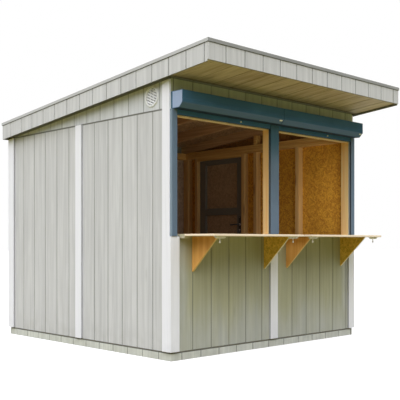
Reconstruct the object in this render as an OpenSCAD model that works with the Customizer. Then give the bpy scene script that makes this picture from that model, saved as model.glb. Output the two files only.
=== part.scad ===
// Wooden market hut: timber-framed kiosk with a single-slope roof, two serving
// hatches with raised roller shutters, fixed counters and a side door.
// Millimetres. +Z up, the serving front faces -Y, the origin is on the ground
// under the middle of the floor plan.

/* [Hut] */
// Width over the corner boards
hut_w = 2404; // [2200:1:2800]
// Depth over the corner boards
hut_d = 2552; // [2400:1:3000]
// Height of the side walls, up to the seam under the gable strips
wall_h = 1980; // [1900:1:2300]
// Height of the fascia's lower edge above the front corner
eaves_h = 2208; // [2150:1:2500]
// Fall of the roof, in degrees
roof_pitch = 5.33; // [3:0.01:8]

/* [Floor] */
// Height of the plinth strip and of the floor's top
plinth_h = 62; // [50:1:120]
// Thickness of the floor deck
floor_t = 18; // [12:1:28]
// Width of a floor bearer
bearer_w = 45; // [30:1:90]
// Number of floor bearers
bearer_count = 5; // [3:2:9]

/* [Siding] */
// Thickness of a siding sheet
panel_t = 11; // [8:1:14]
// Distance between the grooves of a sheet
groove_pitch = 203.2; // [100:0.1:305]
// Width of a groove
groove_w = 9; // [4:0.5:14]
// Depth of a groove
groove_d = 3; // [1:0.5:5]
// Height of the sheets' lower edge above the plinth
panel_lift = 4; // [2:1:20]
// Gap between two sheets under a joint board
sheet_gap = 3; // [1:0.5:6]

/* [Frame] */
// Width of a stud, plate or post
stud_w = 45; // [36:1:60]
// Depth of a stud, which is the depth of the wall's frame
stud_d = 70; // [45:1:95]
// Place of a side wall's front stud, as a share of the way from the front to the joint board
front_stud_share = 0.523; // [0.4:0.001:0.6]
// Width of a post at a front corner
end_post_w = 34; // [30:1:45]
// Depth of a post at a front corner
end_post_d = 89; // [70:1:120]
// Height of the beam over a hatch
header_h = 145; // [90:1:180]
// Width of a rafter
rafter_w = 45; // [36:1:60]
// Plumb height of a rafter
rafter_h = 100; // [85:1:140]
// Number of rafters between the gables, with the two on them
rafter_count = 5; // [3:1:8]

/* [Boards] */
// Thickness of the white boards on corners and joints
trim_t = 18; // [12:1:25]
// Width of a corner board on a side wall
side_board_w = 108; // [80:1:140]
// Width of a corner board on the front or back
end_board_w = 91; // [65:1:130]
// Width of a board over a joint
joint_board_w = 96; // [70:1:140]
// Height of the boards' lower ends above the plinth
board_lift = 10; // [5:1:30]
// Width of the boards beside the doorway
casing_w = 92; // [60:1:100]
// Height of the board over the doorway
casing_head_h = 54; // [40:1:60]

/* [Roof] */
// Overhang of the roof past the front boards
front_overhang = 482; // [300:1:600]
// Overhang of the roof past the side boards
side_overhang = 52; // [45:1:120]
// Overhang of the roof past the back boards
back_overhang = 21; // [20:1:120]
// Plumb height of the fascia strips
fascia_h = 147; // [147:1:200]
// Height of the soffit above the side fascias' lower edge
soffit_lift = 20; // [0:1:30]
// Height of the front fascia's lower edge above the side fascias'
front_fascia_lift = 10; // [0:1:18]
// Thickness of the roof covering
covering_t = 4; // [2:1:8]
// Thickness of the folded metal edge
edge_t = 3; // [2:0.5:4]
// Height of the metal edge above the fascia
edge_h = 20; // [14:1:40]
// Width of the metal edge's flange on the deck
edge_flange = 46; // [30:1:80]
// Depth of the metal edge's drip below the fascia's top
edge_drip = 5; // [3:1:12]
// Reach of the metal edge past the fascia
edge_reach = 6; // [4:0.5:12]
// Width of the fold on top of the metal edge
edge_fold = 14; // [8:1:24]

/* [Vent] */
// Outer diameter of a gable vent
vent_d = 170; // [140:1:180]
// Diameter of the vent's spigot through the sheet
spigot_d = 144; // [110:1:150]
// Wall of the spigot
spigot_wall = 5; // [3:0.5:8]
// Height of the vent's ring in front of the sheet
vent_proud = 10; // [6:1:13]
// Number of louvre blades
blade_count = 7; // [4:1:10]
// Thickness of a blade
blade_t = 3; // [2:0.5:4]
// Tilt of the blades, in degrees
blade_tilt = 40; // [25:1:55]
// Distance of the vent's centre behind the front boards
vent_back = 260; // [200:1:500]
// Height of the vent's centre above the seam
vent_rise = 112; // [95:1:115]

/* [Hatches] */
// Height of the sill's top, level with the counters
sill_h = 996; // [850:1:1100]
// Height of a hatch's head
hatch_head = 1930; // [1800:1:1960]
// Width of a guide rail
rail_w = 53; // [40:1:54]
// Distance of an outer guide rail from the boards' outer face
rail_inset = 8; // [2:1:18]
// Depth of a guide rail
rail_d = 26; // [20:1:40]
// Width of the slot in a guide rail
rail_slot_w = 14; // [8:1:14]
// Depth of the slot in a guide rail
rail_slot_d = 26; // [15:1:40]
// Height and depth of a shutter box
box_size = 137; // [120:1:180]
// Slanted corner of a shutter box
box_chamfer = 40; // [20:1:60]
// Sheet thickness of a shutter box
box_wall = 2; // [1.5:0.5:4]
// Height of a shutter box's underside
box_bottom = 1971; // [1965:1:1985]
// Thickness of an end cap
cap_t = 3; // [2:0.5:6]
// Gap between the two shutter boxes
box_gap = 1; // [1:0.5:6]
// Diameter of the rolled-up shutter
roll_d = 98; // [80:1:104]
// Thickness of the shutter curtain
curtain_t = 8; // [6:1:10]
// Thickness of the shutter's bottom bar
bar_t = 11; // [9:1:12]
// Height of the shutter's bottom bar under the box
bar_h = 36; // [20:1:36]

/* [Counters] */
// Thickness of a counter
counter_t = 18; // [15:1:30]
// Reach of a counter in front of the boards
counter_reach = 386; // [250:1:450]
// Gap between a counter's inner end and the guide rail
counter_gap = 3; // [3:1:40]
// Thickness of a bracket
bracket_t = 18; // [15:1:28]
// Reach of a bracket from the siding
bracket_reach = 280; // [200:1:340]
// Height of a bracket
bracket_h = 278; // [200:1:340]
// Blunt end of a bracket
bracket_nose = 16; // [8:1:40]

/* [Bolts] */
// Length of a bolt's plate
bolt_plate_l = 120; // [80:1:160]
// Width of a bolt's plate
bolt_plate_w = 32; // [24:1:50]
// Thickness of a bolt's plate
bolt_plate_t = 3; // [2:0.5:5]
// Diameter of a bolt's barrel
bolt_barrel_d = 14; // [10:1:20]
// Diameter of a bolt's hanging knob
bolt_knob_d = 12; // [8:1:16]
// Length of a bolt's hanging knob
bolt_knob_l = 42; // [25:1:60]
// Distance of the bolts behind the counter's front edge
bolt_inset = 51; // [40:1:90]

/* [Door] */
// Width of the doorway
door_w = 740; // [650:1:850]
// Distance of the doorway in front of the back boards
door_back = 312; // [280:1:400]
// Space between the doorway's casing and the joint board beside it
joint_space = 76; // [20:1:140]
// Gap beside the door's free edge
door_free_gap = 9; // [9:0.5:14]
// Gap beside the door's hinged edge
door_hinge_gap = 5; // [5:0.5:8]
// Gap under and over the door
door_end_gap = 9; // [7:0.5:14]
// Height of the stop strip over the door
stop_h = 34; // [20:1:60]
// Width of the boards on the door's outside
door_board_w = 90; // [60:1:110]
// Thickness of the framing on the door's inside
ledge_t = 30; // [20:1:40]
// Width of the framing on the door's inside
ledge_w = 98; // [70:1:110]
// Height of the door's handle above the ground
handle_h = 1130; // [950:1:1250]

/* [Hidden] */
$fn = 64;

// One overrun serves all cuts
over = 1;
// Gap between two like pieces that meet end to end
butt_gap = 1;

// Outer planes of the boards, the siding and the frame
x_left = -hut_w / 2;
x_right = hut_w / 2;
y_front = -hut_d / 2;
y_back = hut_d / 2;
skin = trim_t;
core = trim_t + panel_t;
lining = core + stud_d;

// Grooves: where the first one of each face lies, measured from the face's own corner
side_groove_share = 0.2;
front_groove_share = 0.21;
side_plinth_share = 0.85;
front_plinth_share = 0.65;
side_fascia_share = 0.205;
front_fascia_share = 0.64;
gable_groove_share = 0.78;

// Gap left between sloping faces that bear on each other
slope_seat = 0.1;

// Levels of the frame
sole_top = plinth_h + stud_w;
plate_bottom = wall_h - stud_w;

// Roof build-up above the fascia's lower edge
rafter_lift = soffit_lift + panel_t;
front_plate_h = 60;
front_plate_bottom = roof_z(y_front + lining) + rafter_lift - front_plate_h;
deck_lift = rafter_lift + rafter_h;
deck_t = fascia_h - deck_lift;
y_eaves = y_front - front_overhang;
y_rear = y_back + back_overhang;
board_clear = 2;

// Hatches: posts at the corners and a double post in the middle
mid_post_w = 2 * stud_w;
hatch_left = [x_left + core + end_post_w, -mid_post_w / 2];
hatch_right = [mid_post_w / 2, x_right - core - end_post_w];
end_post_y = [y_front + core, y_front + core + end_post_d];
siding_y = y_front + skin;
rail_y = [siding_y - rail_d, siding_y];
rail_bottom = sill_h - counter_t + board_clear;
rail_x = [x_left + rail_inset, -box_gap / 2 - rail_w, box_gap / 2, x_right - rail_inset - rail_w];
curtain_y = siding_y - rail_d / 2;
curtain_clear = 3;
roll_z = box_bottom + box_size / 2;
roll_y = curtain_y - (roll_d - curtain_t) / 2;
slot_w = bar_t + 2 * curtain_clear;

// Counters, brackets and bolts
counter_z = [sill_h - counter_t, sill_h];
counter_y = [y_front - counter_reach, siding_y];
left_counter_x = [x_left + end_board_w, rail_x[1] - counter_gap];
right_counter_x = [rail_x[2] + rail_w + counter_gap, x_right - end_board_w];
bracket_shares = [[0.147, 0.949], [0.124, 0.892]];
bolt_shares = [[0.113, 0.928], [0.072, 0.935]];

// Side door, and the side walls' sheet joint in front of its casing
doorway_y = [y_back - door_back - door_w, y_back - door_back];
joint_y = doorway_y[0] - casing_w - joint_space - joint_board_w / 2;
leaf_y = [doorway_y[0] + door_free_gap, doorway_y[1] - door_hinge_gap];
leaf_z = [plinth_h + door_end_gap, plate_bottom - door_end_gap];
stop_clear = 1;
ledge_mid_share = 0.655;
ledge_rail_h = 80;
handle_bore_d = 14;
spindle_d = 12;
handle_y = leaf_y[0] + ledge_w / 2;
plate_size = [4, 38, 190];
lever_d = 18;
lever_out = 42;
lever_l = 115;
hinge_pin_d = 10;
hinge_clear = 0.1;
eye_d = 20;
strap_t = 4;
strap_w = 36;
strap_l = 320;
hook_plate_l = 70;
hook_plate_h = 64;
hook_rise = 4;
hinge_x = x_right + eye_d / 2 + board_clear / 2;
hinge_y = doorway_y[1] - door_hinge_gap / 2;
hinge_shares = [0.16, 0.84];
hinge_z = [for (s = hinge_shares) leaf_z[0] + s * (leaf_z[1] - leaf_z[0])];

// Height of the fascia's lower edge at a distance along the hut
function roof_z(y) = eaves_h - (y - y_front) * tan(roof_pitch);

// Grooves that fall inside a range, clear of its ends
function grooves(range, start) =
  let (first = ceil((range[0] + groove_w - start) / groove_pitch))
  let (last = floor((range[1] - groove_w - start) / groove_pitch))
  [for (k = [first : 1 : last]) start + k * groove_pitch];

// Ranges that share a middle
function around(middle, size) = [middle - size / 2, middle + size / 2];

// Block between three ranges
module span(x, y, z) {
  translate([x[0], y[0], z[0]])
    cube([x[1] - x[0], y[1] - y[0], z[1] - z[0]]);
}

// Outline in Y and Z carried along X
module along_x(x, outline) {
  translate([x[0], 0, 0])
    rotate([90, 0, 90])
      linear_extrude(x[1] - x[0])
        polygon(outline);
}

// Block that follows the roof: lift is measured from the fascia's lower edge
module sloped(x, y, lift) {
  along_x(x, [
    [y[0], roof_z(y[0]) + lift[0]],
    [y[1], roof_z(y[1]) + lift[0]],
    [y[1], roof_z(y[1]) + lift[1]],
    [y[0], roof_z(y[0]) + lift[1]]
  ]);
}

// Upright block with a level foot whose top follows the roof
module bevelled(x, y, foot, lift) {
  along_x(x, [
    [y[0], foot],
    [y[1], foot],
    [y[1], roof_z(y[1]) + lift],
    [y[0], roof_z(y[0]) + lift]
  ]);
}

// Cutters for grooves on a face that looks along Y, and on one that looks along X
module groove_cuts_x(places, y, z) {
  for (g = places)
    span(around(g, groove_w), y, z);
}

module groove_cuts_y(places, x, z) {
  for (g = places)
    span(x, around(g, groove_w), z);
}

// Depth range of the groove on the outer side of a face
function groove_depth(face, outward) =
  outward < 0 ? [face - over, face + groove_d] : [face - groove_d, face + over];

// Siding sheet on the front or back
module end_sheet(x, z, back = false) {
  y = back ? [y_back - core, y_back - skin] : [y_front + skin, y_front + core];
  start = x_left + front_groove_share * groove_pitch;
  difference() {
    span(x, y, z);
    groove_cuts_x(
      grooves(x, start),
      back ? groove_depth(y[1], 1) : groove_depth(y[0], -1),
      [z[0] - over, z[1] + over]
    );
  }
}

// Siding sheet on a side
module side_sheet(y, z, right = false) {
  x = right ? [x_right - core, x_right - skin] : [x_left + skin, x_left + core];
  start = y_front + side_groove_share * groove_pitch;
  difference() {
    span(x, y, z);
    groove_cuts_y(
      grooves(y, start),
      right ? groove_depth(x[1], 1) : groove_depth(x[0], -1),
      [z[0] - over, z[1] + over]
    );
  }
}

// Floor

module floor_bearers() {
  first = y_front + core + bearer_w / 2;
  step = (hut_d - 2 * core - bearer_w) / (bearer_count - 1);
  color("burlywood")
    for (i = [0 : bearer_count - 1])
      span([x_left + core, x_right - core], around(first + i * step, bearer_w), [0, plinth_h - floor_t]);
}

module floor_deck() {
  color("peru")
    span(
      [x_left + core, x_right - core],
      [y_front + core, y_back - core],
      [plinth_h - floor_t, plinth_h]
    );
}

module plinth_boards() {
  x = [x_left + skin, x_right - skin];
  y = [y_front + core + butt_gap, y_back - core - butt_gap];
  cut_z = [-over, plinth_h + over];
  front = [y_front + skin, y_front + core];
  back = [y_back - core, y_back - skin];
  left = [x_left + skin, x_left + core];
  right = [x_right - core, x_right - skin];
  color("silver") {
    difference() {
      span(x, front, [0, plinth_h]);
      groove_cuts_x(grooves(x, x_left + front_plinth_share * groove_pitch), groove_depth(front[0], -1), cut_z);
    }
    difference() {
      span(x, back, [0, plinth_h]);
      groove_cuts_x(grooves(x, x_left + front_plinth_share * groove_pitch), groove_depth(back[1], 1), cut_z);
    }
    difference() {
      span(left, y, [0, plinth_h]);
      groove_cuts_y(grooves(y, y_front + side_plinth_share * groove_pitch), groove_depth(left[0], -1), cut_z);
    }
    difference() {
      span(right, y, [0, plinth_h]);
      groove_cuts_y(grooves(y, y_front + side_plinth_share * groove_pitch), groove_depth(right[1], 1), cut_z);
    }
  }
}

// Frame

module wall_plates() {
  left = [x_left + core, x_left + lining];
  right = [x_right - lining, x_right - core];
  run = [end_post_y[1] + butt_gap, y_back - lining - butt_gap];
  across = [x_left + core, x_right - core];
  rear = [y_back - lining, y_back - core];
  sole = [plinth_h, sole_top];
  top = [plate_bottom, wall_h];
  color("burlywood") {
    span(left, run, sole);
    span(left, run, top);
    span(right, [run[0], doorway_y[0]], sole);
    span(right, [doorway_y[1], run[1]], sole);
    span(right, run, top);
    span([right[0], ledge_x[0] - stop_clear], doorway_y, [plate_bottom - stop_h, plate_bottom]);
    span(across, rear, sole);
    bevelled(across, rear, plate_bottom, rafter_lift - slope_seat);
  }
}

module wall_studs() {
  left = [x_left + core, x_left + lining];
  right = [x_right - lining, x_right - core];
  rear = [y_back - lining, y_back - core];
  front = [y_front + core, y_front + lining];
  end = hut_d / 2 - lining - butt_gap - stud_w / 2;
  corner = hut_w / 2 - core - stud_w / 2;
  front_middle = y_front + front_stud_share * (joint_y - y_front);
  back_middle = (joint_y + y_back) / 2;
  z = [sole_top, plate_bottom];
  color("burlywood") {
    for (y = [front_middle, joint_y, back_middle, end])
      span(left, around(y, stud_w), z);
    for (y = [front_middle, joint_y, end])
      span(right, around(y, stud_w), z);
    span(right, [doorway_y[0] - stud_w, doorway_y[0]], z);
    span(right, [doorway_y[1], doorway_y[1] + stud_w], z);
    for (x = [-corner, -corner / 2, 0, corner / 2, corner])
      span(around(x, stud_w), rear, z);
    for (hatch = [hatch_left, hatch_right])
      span(around((hatch[0] + hatch[1]) / 2, stud_w), front, [sole_top, sill_h - stud_w]);
  }
}

module front_posts() {
  y = [y_front + core, y_front + lining];
  z = [plinth_h, front_plate_bottom];
  color("burlywood") {
    span([x_left + core, hatch_left[0]], end_post_y, z);
    span([hatch_left[1], hatch_right[0]], y, z);
    span([hatch_right[1], x_right - core], end_post_y, z);
  }
}

module front_rails() {
  y = [y_front + core, y_front + lining];
  color("burlywood") {
    for (hatch = [hatch_left, hatch_right]) {
      span(hatch, y, [plinth_h, sole_top]);
      span(hatch, y, [sill_h - stud_w, sill_h]);
      span(hatch, y, [hatch_head, hatch_head + header_h]);
    }
    bevelled([x_left + core, x_right - core], y, front_plate_bottom, rafter_lift - slope_seat);
  }
}

module rafters() {
  y = [y_eaves + panel_t, y_rear - panel_t];
  lift = [rafter_lift, deck_lift - slope_seat];
  first = x_left + core + rafter_w / 2;
  step = (hut_w - 2 * core - rafter_w) / (rafter_count - 1);
  barge = side_overhang - panel_t;
  color("burlywood") {
    for (i = [0 : rafter_count - 1])
      sloped(around(first + i * step, rafter_w), y, lift);
    sloped([x_left - barge, x_left - barge + rafter_w], y, lift);
    sloped([x_right + barge - rafter_w, x_right + barge], y, lift);
  }
}

// Siding

module front_wall_panels() {
  z = [plinth_h + panel_lift, sill_h];
  color("gainsboro") {
    end_sheet([x_left + skin, -sheet_gap / 2], z);
    end_sheet([sheet_gap / 2, x_right - skin], z);
  }
}

module front_jamb_panels() {
  y = [y_front + skin, y_front + core];
  z = [sill_h, hatch_head];
  color("gainsboro") {
    span([x_left + skin, hatch_left[0]], y, z);
    span([hatch_left[1], hatch_right[0]], y, z);
    span([hatch_right[1], x_right - skin], y, z);
  }
}

module front_head_panel() {
  x = [x_left + skin, x_right - skin];
  y = [y_front + skin, y_front + core];
  start = x_left + front_groove_share * groove_pitch;
  color("gainsboro")
    difference() {
      bevelled(x, y, hatch_head, rafter_lift - slope_seat);
      groove_cuts_x(grooves(x, start), groove_depth(y[0], -1), [hatch_head - over, roof_z(y[0]) + rafter_lift]);
    }
}

module left_wall_panels() {
  z = [plinth_h + panel_lift, wall_h];
  color("gainsboro") {
    side_sheet([y_front + core, joint_y - sheet_gap / 2], z);
    side_sheet([joint_y + sheet_gap / 2, y_back - core], z);
  }
}

module right_wall_panel() {
  color("gainsboro")
    side_sheet([y_front + core, joint_y - sheet_gap / 2], [plinth_h + panel_lift, wall_h], right = true);
}

module door_side_panels() {
  z = [plinth_h + panel_lift, wall_h];
  color("gainsboro") {
    side_sheet([joint_y + sheet_gap / 2, doorway_y[0]], z, right = true);
    side_sheet([doorway_y[1], y_back - core], z, right = true);
  }
}

module door_head_panel() {
  color("gainsboro")
    side_sheet(doorway_y, [plate_bottom, wall_h], right = true);
}

module gable_panels() {
  y = [y_front + core, y_back - core];
  start = y_front + gable_groove_share * groove_pitch;
  foot = wall_h + board_clear;
  top = deck_lift - board_clear;
  faces = [[x_left + skin, x_left + core], [x_right - core, x_right - skin]];
  color("gainsboro")
    for (side = [0, 1])
      difference() {
        bevelled(faces[side], y, foot, top);
        groove_cuts_y(
          grooves(y, start),
          side == 0 ? groove_depth(faces[0][0], -1) : groove_depth(faces[1][1], 1),
          [foot - over, roof_z(y[0]) + deck_lift]
        );
        translate([faces[side][0] - over, y_front + vent_back, wall_h + vent_rise])
          rotate([0, 90, 0])
            cylinder(h = panel_t + 2 * over, d = spigot_d + board_clear);
      }
}

module back_wall_panels() {
  z = [plinth_h + panel_lift, roof_z(y_back) - board_clear];
  color("gainsboro") {
    end_sheet([x_left + skin, -sheet_gap / 2], z, back = true);
    end_sheet([sheet_gap / 2, x_right - skin], z, back = true);
  }
}

// Boards

module side_corner_boards() {
  foot = plinth_h + board_lift;
  front = [y_front + trim_t, y_front + side_board_w];
  back = [y_back - side_board_w, y_back - trim_t];
  color("white")
    for (x = [[x_left, x_left + trim_t], [x_right - trim_t, x_right]]) {
      bevelled(x, front, foot, -board_clear);
      bevelled(x, back, foot, -board_clear);
    }
}

module end_corner_boards() {
  foot = plinth_h + board_lift;
  front_top = sill_h - counter_t - board_clear;
  back_top = roof_z(y_back) - board_clear;
  color("white")
    for (x = [[x_left, x_left + end_board_w], [x_right - end_board_w, x_right]]) {
      span(x, [y_front, y_front + trim_t], [foot, front_top]);
      span(x, [y_back - trim_t, y_back], [foot, back_top]);
    }
}

module joint_boards() {
  foot = plinth_h + board_lift;
  across = around(0, joint_board_w);
  color("white") {
    span([x_left, x_left + trim_t], around(joint_y, joint_board_w), [foot, wall_h]);
    span([x_right - trim_t, x_right], around(joint_y, joint_board_w), [foot, wall_h]);
    span(across, [y_front, y_front + trim_t], [foot, sill_h - counter_t - board_clear]);
    span(across, [y_back - trim_t, y_back], [foot, roof_z(y_back) - board_clear]);
  }
}

module door_casing() {
  x = [x_right - trim_t, x_right];
  z = [plinth_h + board_lift, plate_bottom - butt_gap];
  color("white") {
    span(x, [doorway_y[0] - casing_w, doorway_y[0]], z);
    span(x, [doorway_y[1], doorway_y[1] + casing_w], z);
    span(x, [doorway_y[0] - casing_w, doorway_y[1] + casing_w], [plate_bottom, plate_bottom + casing_head_h]);
  }
}

// Roof

module soffit_panel() {
  x = [x_left - side_overhang + panel_t, x_right + side_overhang - panel_t];
  y = [y_eaves + panel_t, y_front + skin];
  start = x_left + front_groove_share * groove_pitch;
  color("tan")
    difference() {
      sloped(x, y, [soffit_lift, rafter_lift - slope_seat]);
      for (g = grooves(x, start))
        sloped(around(g, groove_w), [y[0] - over, y[1] + over], [soffit_lift - over, soffit_lift + groove_d]);
    }
}

module roof_deck() {
  color("peru")
    sloped(
      [x_left - side_overhang + panel_t, x_right + side_overhang - panel_t],
      [y_eaves + panel_t, y_rear - panel_t],
      [deck_lift, fascia_h]
    );
}

module roof_covering() {
  inset = edge_flange + butt_gap;
  color("dimgray")
    sloped(
      [x_left - side_overhang + inset, x_right + side_overhang - inset],
      [y_eaves + inset, y_rear - inset],
      [fascia_h + slope_seat, fascia_h + covering_t]
    );
}

// Fascia strip across the hut, grooved on its outer side
module end_fascia(y, outward, lift) {
  x = [x_left - side_overhang, x_right + side_overhang];
  face = outward < 0 ? y[0] : y[1];
  start = x_left + front_fascia_share * groove_pitch;
  difference() {
    sloped(x, y, [lift, fascia_h]);
    groove_cuts_x(
      grooves(x, start),
      groove_depth(face, outward),
      [roof_z(face) - fascia_h, roof_z(face) + 2 * fascia_h]
    );
  }
}

module front_fascia() {
  color("gainsboro")
    end_fascia([y_eaves, y_eaves + panel_t], -1, front_fascia_lift);
}

module side_fascias() {
  y = [y_eaves + panel_t, y_rear - panel_t];
  start = y_eaves + side_fascia_share * groove_pitch;
  reach = side_overhang;
  cut = [roof_z(y[1]) - over, roof_z(y[0]) + fascia_h + over];
  color("gainsboro") {
    difference() {
      sloped([x_left - reach, x_left - reach + panel_t], y, [0, fascia_h]);
      groove_cuts_y(grooves(y, start), groove_depth(x_left - reach, -1), cut);
    }
    difference() {
      sloped([x_right + reach - panel_t, x_right + reach], y, [0, fascia_h]);
      groove_cuts_y(grooves(y, start), groove_depth(x_right + reach, 1), cut);
    }
  }
}

module back_fascia() {
  color("gainsboro")
    end_fascia([y_rear - panel_t, y_rear], 1, 0);
}

// Folded metal edge: a flange on the deck, an upright face with a drip, and a fold on top
module roof_edge() {
  flange = [fascia_h + slope_seat, fascia_h + edge_t];
  face = [fascia_h - edge_drip, fascia_h + edge_h];
  fold = [fascia_h + edge_h - edge_t, fascia_h + edge_h];
  out = edge_reach;
  x = [x_left - side_overhang, x_right + side_overhang];
  y = [y_eaves, y_rear];
  long_x = [x[0] - out, x[1] + out];
  inner_x = [x[0] - out + edge_t + butt_gap, x[1] + out - edge_t - butt_gap];
  long_y = [y[0] - out + edge_t + butt_gap, y[1] + out - edge_t - butt_gap];
  inner_y = [y[0] + edge_flange + butt_gap, y[1] - edge_flange - butt_gap];
  color("gray") {
    sloped(long_x, [y[0] - out, y[0] - out + edge_t], face);
    sloped(inner_x, [y[0] - out, y[0] + edge_flange], flange);
    sloped(inner_x, [y[0] - out, y[0] - out + edge_fold], fold);
    sloped(long_x, [y[1] + out - edge_t, y[1] + out], face);
    sloped(inner_x, [y[1] - edge_flange, y[1] + out], flange);
    sloped(inner_x, [y[1] + out - edge_fold, y[1] + out], fold);
    sloped([x[0] - out, x[0] - out + edge_t], long_y, face);
    sloped([x[0] - out, x[0] + edge_flange], inner_y, flange);
    sloped([x[0] - out, x[0] - out + edge_fold], inner_y, fold);
    sloped([x[1] + out - edge_t, x[1] + out], long_y, face);
    sloped([x[1] - edge_flange, x[1] + out], inner_y, flange);
    sloped([x[1] + out - edge_fold, x[1] + out], inner_y, fold);
  }
}

// Round louvred vent, drawn with its axis along +Z, which points out of the wall
module vent() {
  bore_d = spigot_d - 2 * spigot_wall;
  depth = panel_t + vent_proud;
  step = bore_d / blade_count;
  blade_w = depth / cos(blade_tilt);
  rotate_extrude()
    polygon([
      [bore_d / 2, -panel_t],
      [spigot_d / 2, -panel_t],
      [spigot_d / 2, 0],
      [vent_d / 2, 0],
      [vent_d / 2, vent_proud / 2],
      [vent_d / 2 - vent_proud / 2, vent_proud],
      [bore_d / 2, vent_proud]
    ]);
  intersection() {
    translate([0, 0, -panel_t])
      cylinder(h = depth, d = bore_d + spigot_wall);
    for (i = [0 : blade_count - 1])
      translate([(i - (blade_count - 1) / 2) * step, 0, (vent_proud - panel_t) / 2])
        rotate([0, -blade_tilt, 0])
          cube([blade_t, spigot_d, blade_w], center = true);
  }
}

module gable_vents() {
  y = y_front + vent_back;
  z = wall_h + vent_rise;
  color("whitesmoke") {
    translate([x_left + skin, y, z])
      rotate([0, -90, 0])
        vent();
    translate([x_right - skin, y, z])
      rotate([0, 90, 0])
        rotate([0, 0, 180])
          vent();
  }
}

// Roller shutters, raised

// Outline of a shutter box, drawn in by a distance
function box_outline(inset) =
  let (rear = siding_y - inset)
  let (front = siding_y - box_size + inset)
  let (low = box_bottom + inset)
  let (high = box_bottom + box_size - inset)
  let (slant = box_chamfer + inset * (sqrt(2) - 2))
  [[rear, low], [rear, high], [front, high], [front, low + slant], [front + slant, low]];

left_box_x = [x_left + skin, -box_gap / 2];
right_box_x = [box_gap / 2, x_right - skin];

module shutter_box(x) {
  difference() {
    along_x([x[0] + cap_t, x[1] - cap_t], box_outline(0));
    along_x([x[0] - over, x[1] + over], box_outline(box_wall));
    span([x[0] - over, x[1] + over], around(curtain_y, slot_w), around(box_bottom, 2 * (box_wall + over)));
  }
}

module left_shutter_box() {
  color("darkslategray")
    shutter_box(left_box_x);
}

module right_shutter_box() {
  color("darkslategray")
    shutter_box(right_box_x);
}

module shutter_end_caps() {
  color("slategray")
    for (x = [left_box_x, right_box_x]) {
      along_x([x[0], x[0] + cap_t], box_outline(0));
      along_x([x[1] - cap_t, x[1]], box_outline(0));
    }
}

module shutter_curtains() {
  color("slategray")
    for (i = [0, 1]) {
      x = [left_box_x, right_box_x][i];
      bar_x = [
        rail_x[2 * i] + rail_w - rail_slot_d + curtain_clear,
        rail_x[2 * i + 1] + rail_slot_d - curtain_clear
      ];
      translate([x[0] + cap_t, roll_y, roll_z])
        rotate([0, 90, 0])
          cylinder(h = x[1] - x[0] - 2 * cap_t, d = roll_d);
      span(bar_x, around(curtain_y, curtain_t), [box_bottom - bar_h, roll_z]);
      span(bar_x, around(curtain_y, bar_t), [box_bottom - bar_h, box_bottom]);
    }
}

module guide_rails() {
  color("lightslategray")
    for (i = [0 : len(rail_x) - 1]) {
      x = [rail_x[i], rail_x[i] + rail_w];
      slot = i % 2 == 0 ? [x[1] - rail_slot_d, x[1] + over] : [x[0] - over, x[0] + rail_slot_d];
      difference() {
        span(x, rail_y, [rail_bottom, box_bottom]);
        span(slot, around(curtain_y, rail_slot_w), [rail_bottom - over, box_bottom + over]);
      }
    }
}

// Counters

module left_counter() {
  color("wheat")
    span(left_counter_x, counter_y, counter_z);
}

module right_counter() {
  color("wheat")
    span(right_counter_x, counter_y, counter_z);
}

// Triangular bracket with blunt ends, from the siding to under the counter
module bracket(x) {
  along_x(around(x, bracket_t), [
    [siding_y, counter_z[0]],
    [siding_y, counter_z[0] - bracket_h],
    [siding_y - bracket_nose, counter_z[0] - bracket_h],
    [siding_y - bracket_reach, counter_z[0] - bracket_nose],
    [siding_y - bracket_reach, counter_z[0]]
  ]);
}

// Place at a share of a range
function at_share(range, share) = range[0] + share * (range[1] - range[0]);

module counter_brackets() {
  color("peru") {
    for (share = bracket_shares[0])
      bracket(at_share(left_counter_x, share));
    for (share = bracket_shares[1])
      bracket(at_share(right_counter_x, share));
  }
}

// Barrel bolt under a counter: a plate, a barrel along it and a hanging knob
module barrel_bolt(x) {
  y = counter_y[0] + bolt_inset;
  z = counter_z[0];
  barrel_z = z - bolt_plate_t - bolt_barrel_d / 2 + board_clear / 2;
  span(around(x, bolt_plate_l), around(y, bolt_plate_w), [z - bolt_plate_t, z]);
  translate([x - bolt_plate_l / 2, y, barrel_z])
    rotate([0, 90, 0])
      cylinder(h = bolt_plate_l, d = bolt_barrel_d);
  translate([x, y, barrel_z - bolt_knob_l])
    cylinder(h = bolt_knob_l, d = bolt_knob_d);
}

module counter_bolts() {
  color("silver") {
    for (share = bolt_shares[0])
      barrel_bolt(at_share(left_counter_x, share));
    for (share = bolt_shares[1])
      barrel_bolt(at_share(right_counter_x, share));
  }
}

// Side door

ledge_x = [x_right - core - ledge_t, x_right - core];

// Hole for the handle's spindle
module handle_bore() {
  translate([ledge_x[0] - over, handle_y, handle_h])
    rotate([0, 90, 0])
      cylinder(h = ledge_t + core + 2 * over, d = handle_bore_d);
}

module door_panel() {
  color("gainsboro")
    difference() {
      side_sheet(leaf_y, leaf_z, right = true);
      handle_bore();
    }
}

module door_boards() {
  x = [x_right - trim_t, x_right];
  inner = [leaf_y[0] + door_board_w + butt_gap, leaf_y[1] - door_board_w - butt_gap];
  color("white") {
    difference() {
      span(x, [leaf_y[0], leaf_y[0] + door_board_w], leaf_z);
      handle_bore();
    }
    span(x, [leaf_y[1] - door_board_w, leaf_y[1]], leaf_z);
    span(x, inner, [leaf_z[0], leaf_z[0] + door_board_w]);
    span(x, inner, [leaf_z[1] - door_board_w, leaf_z[1]]);
  }
}

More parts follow.
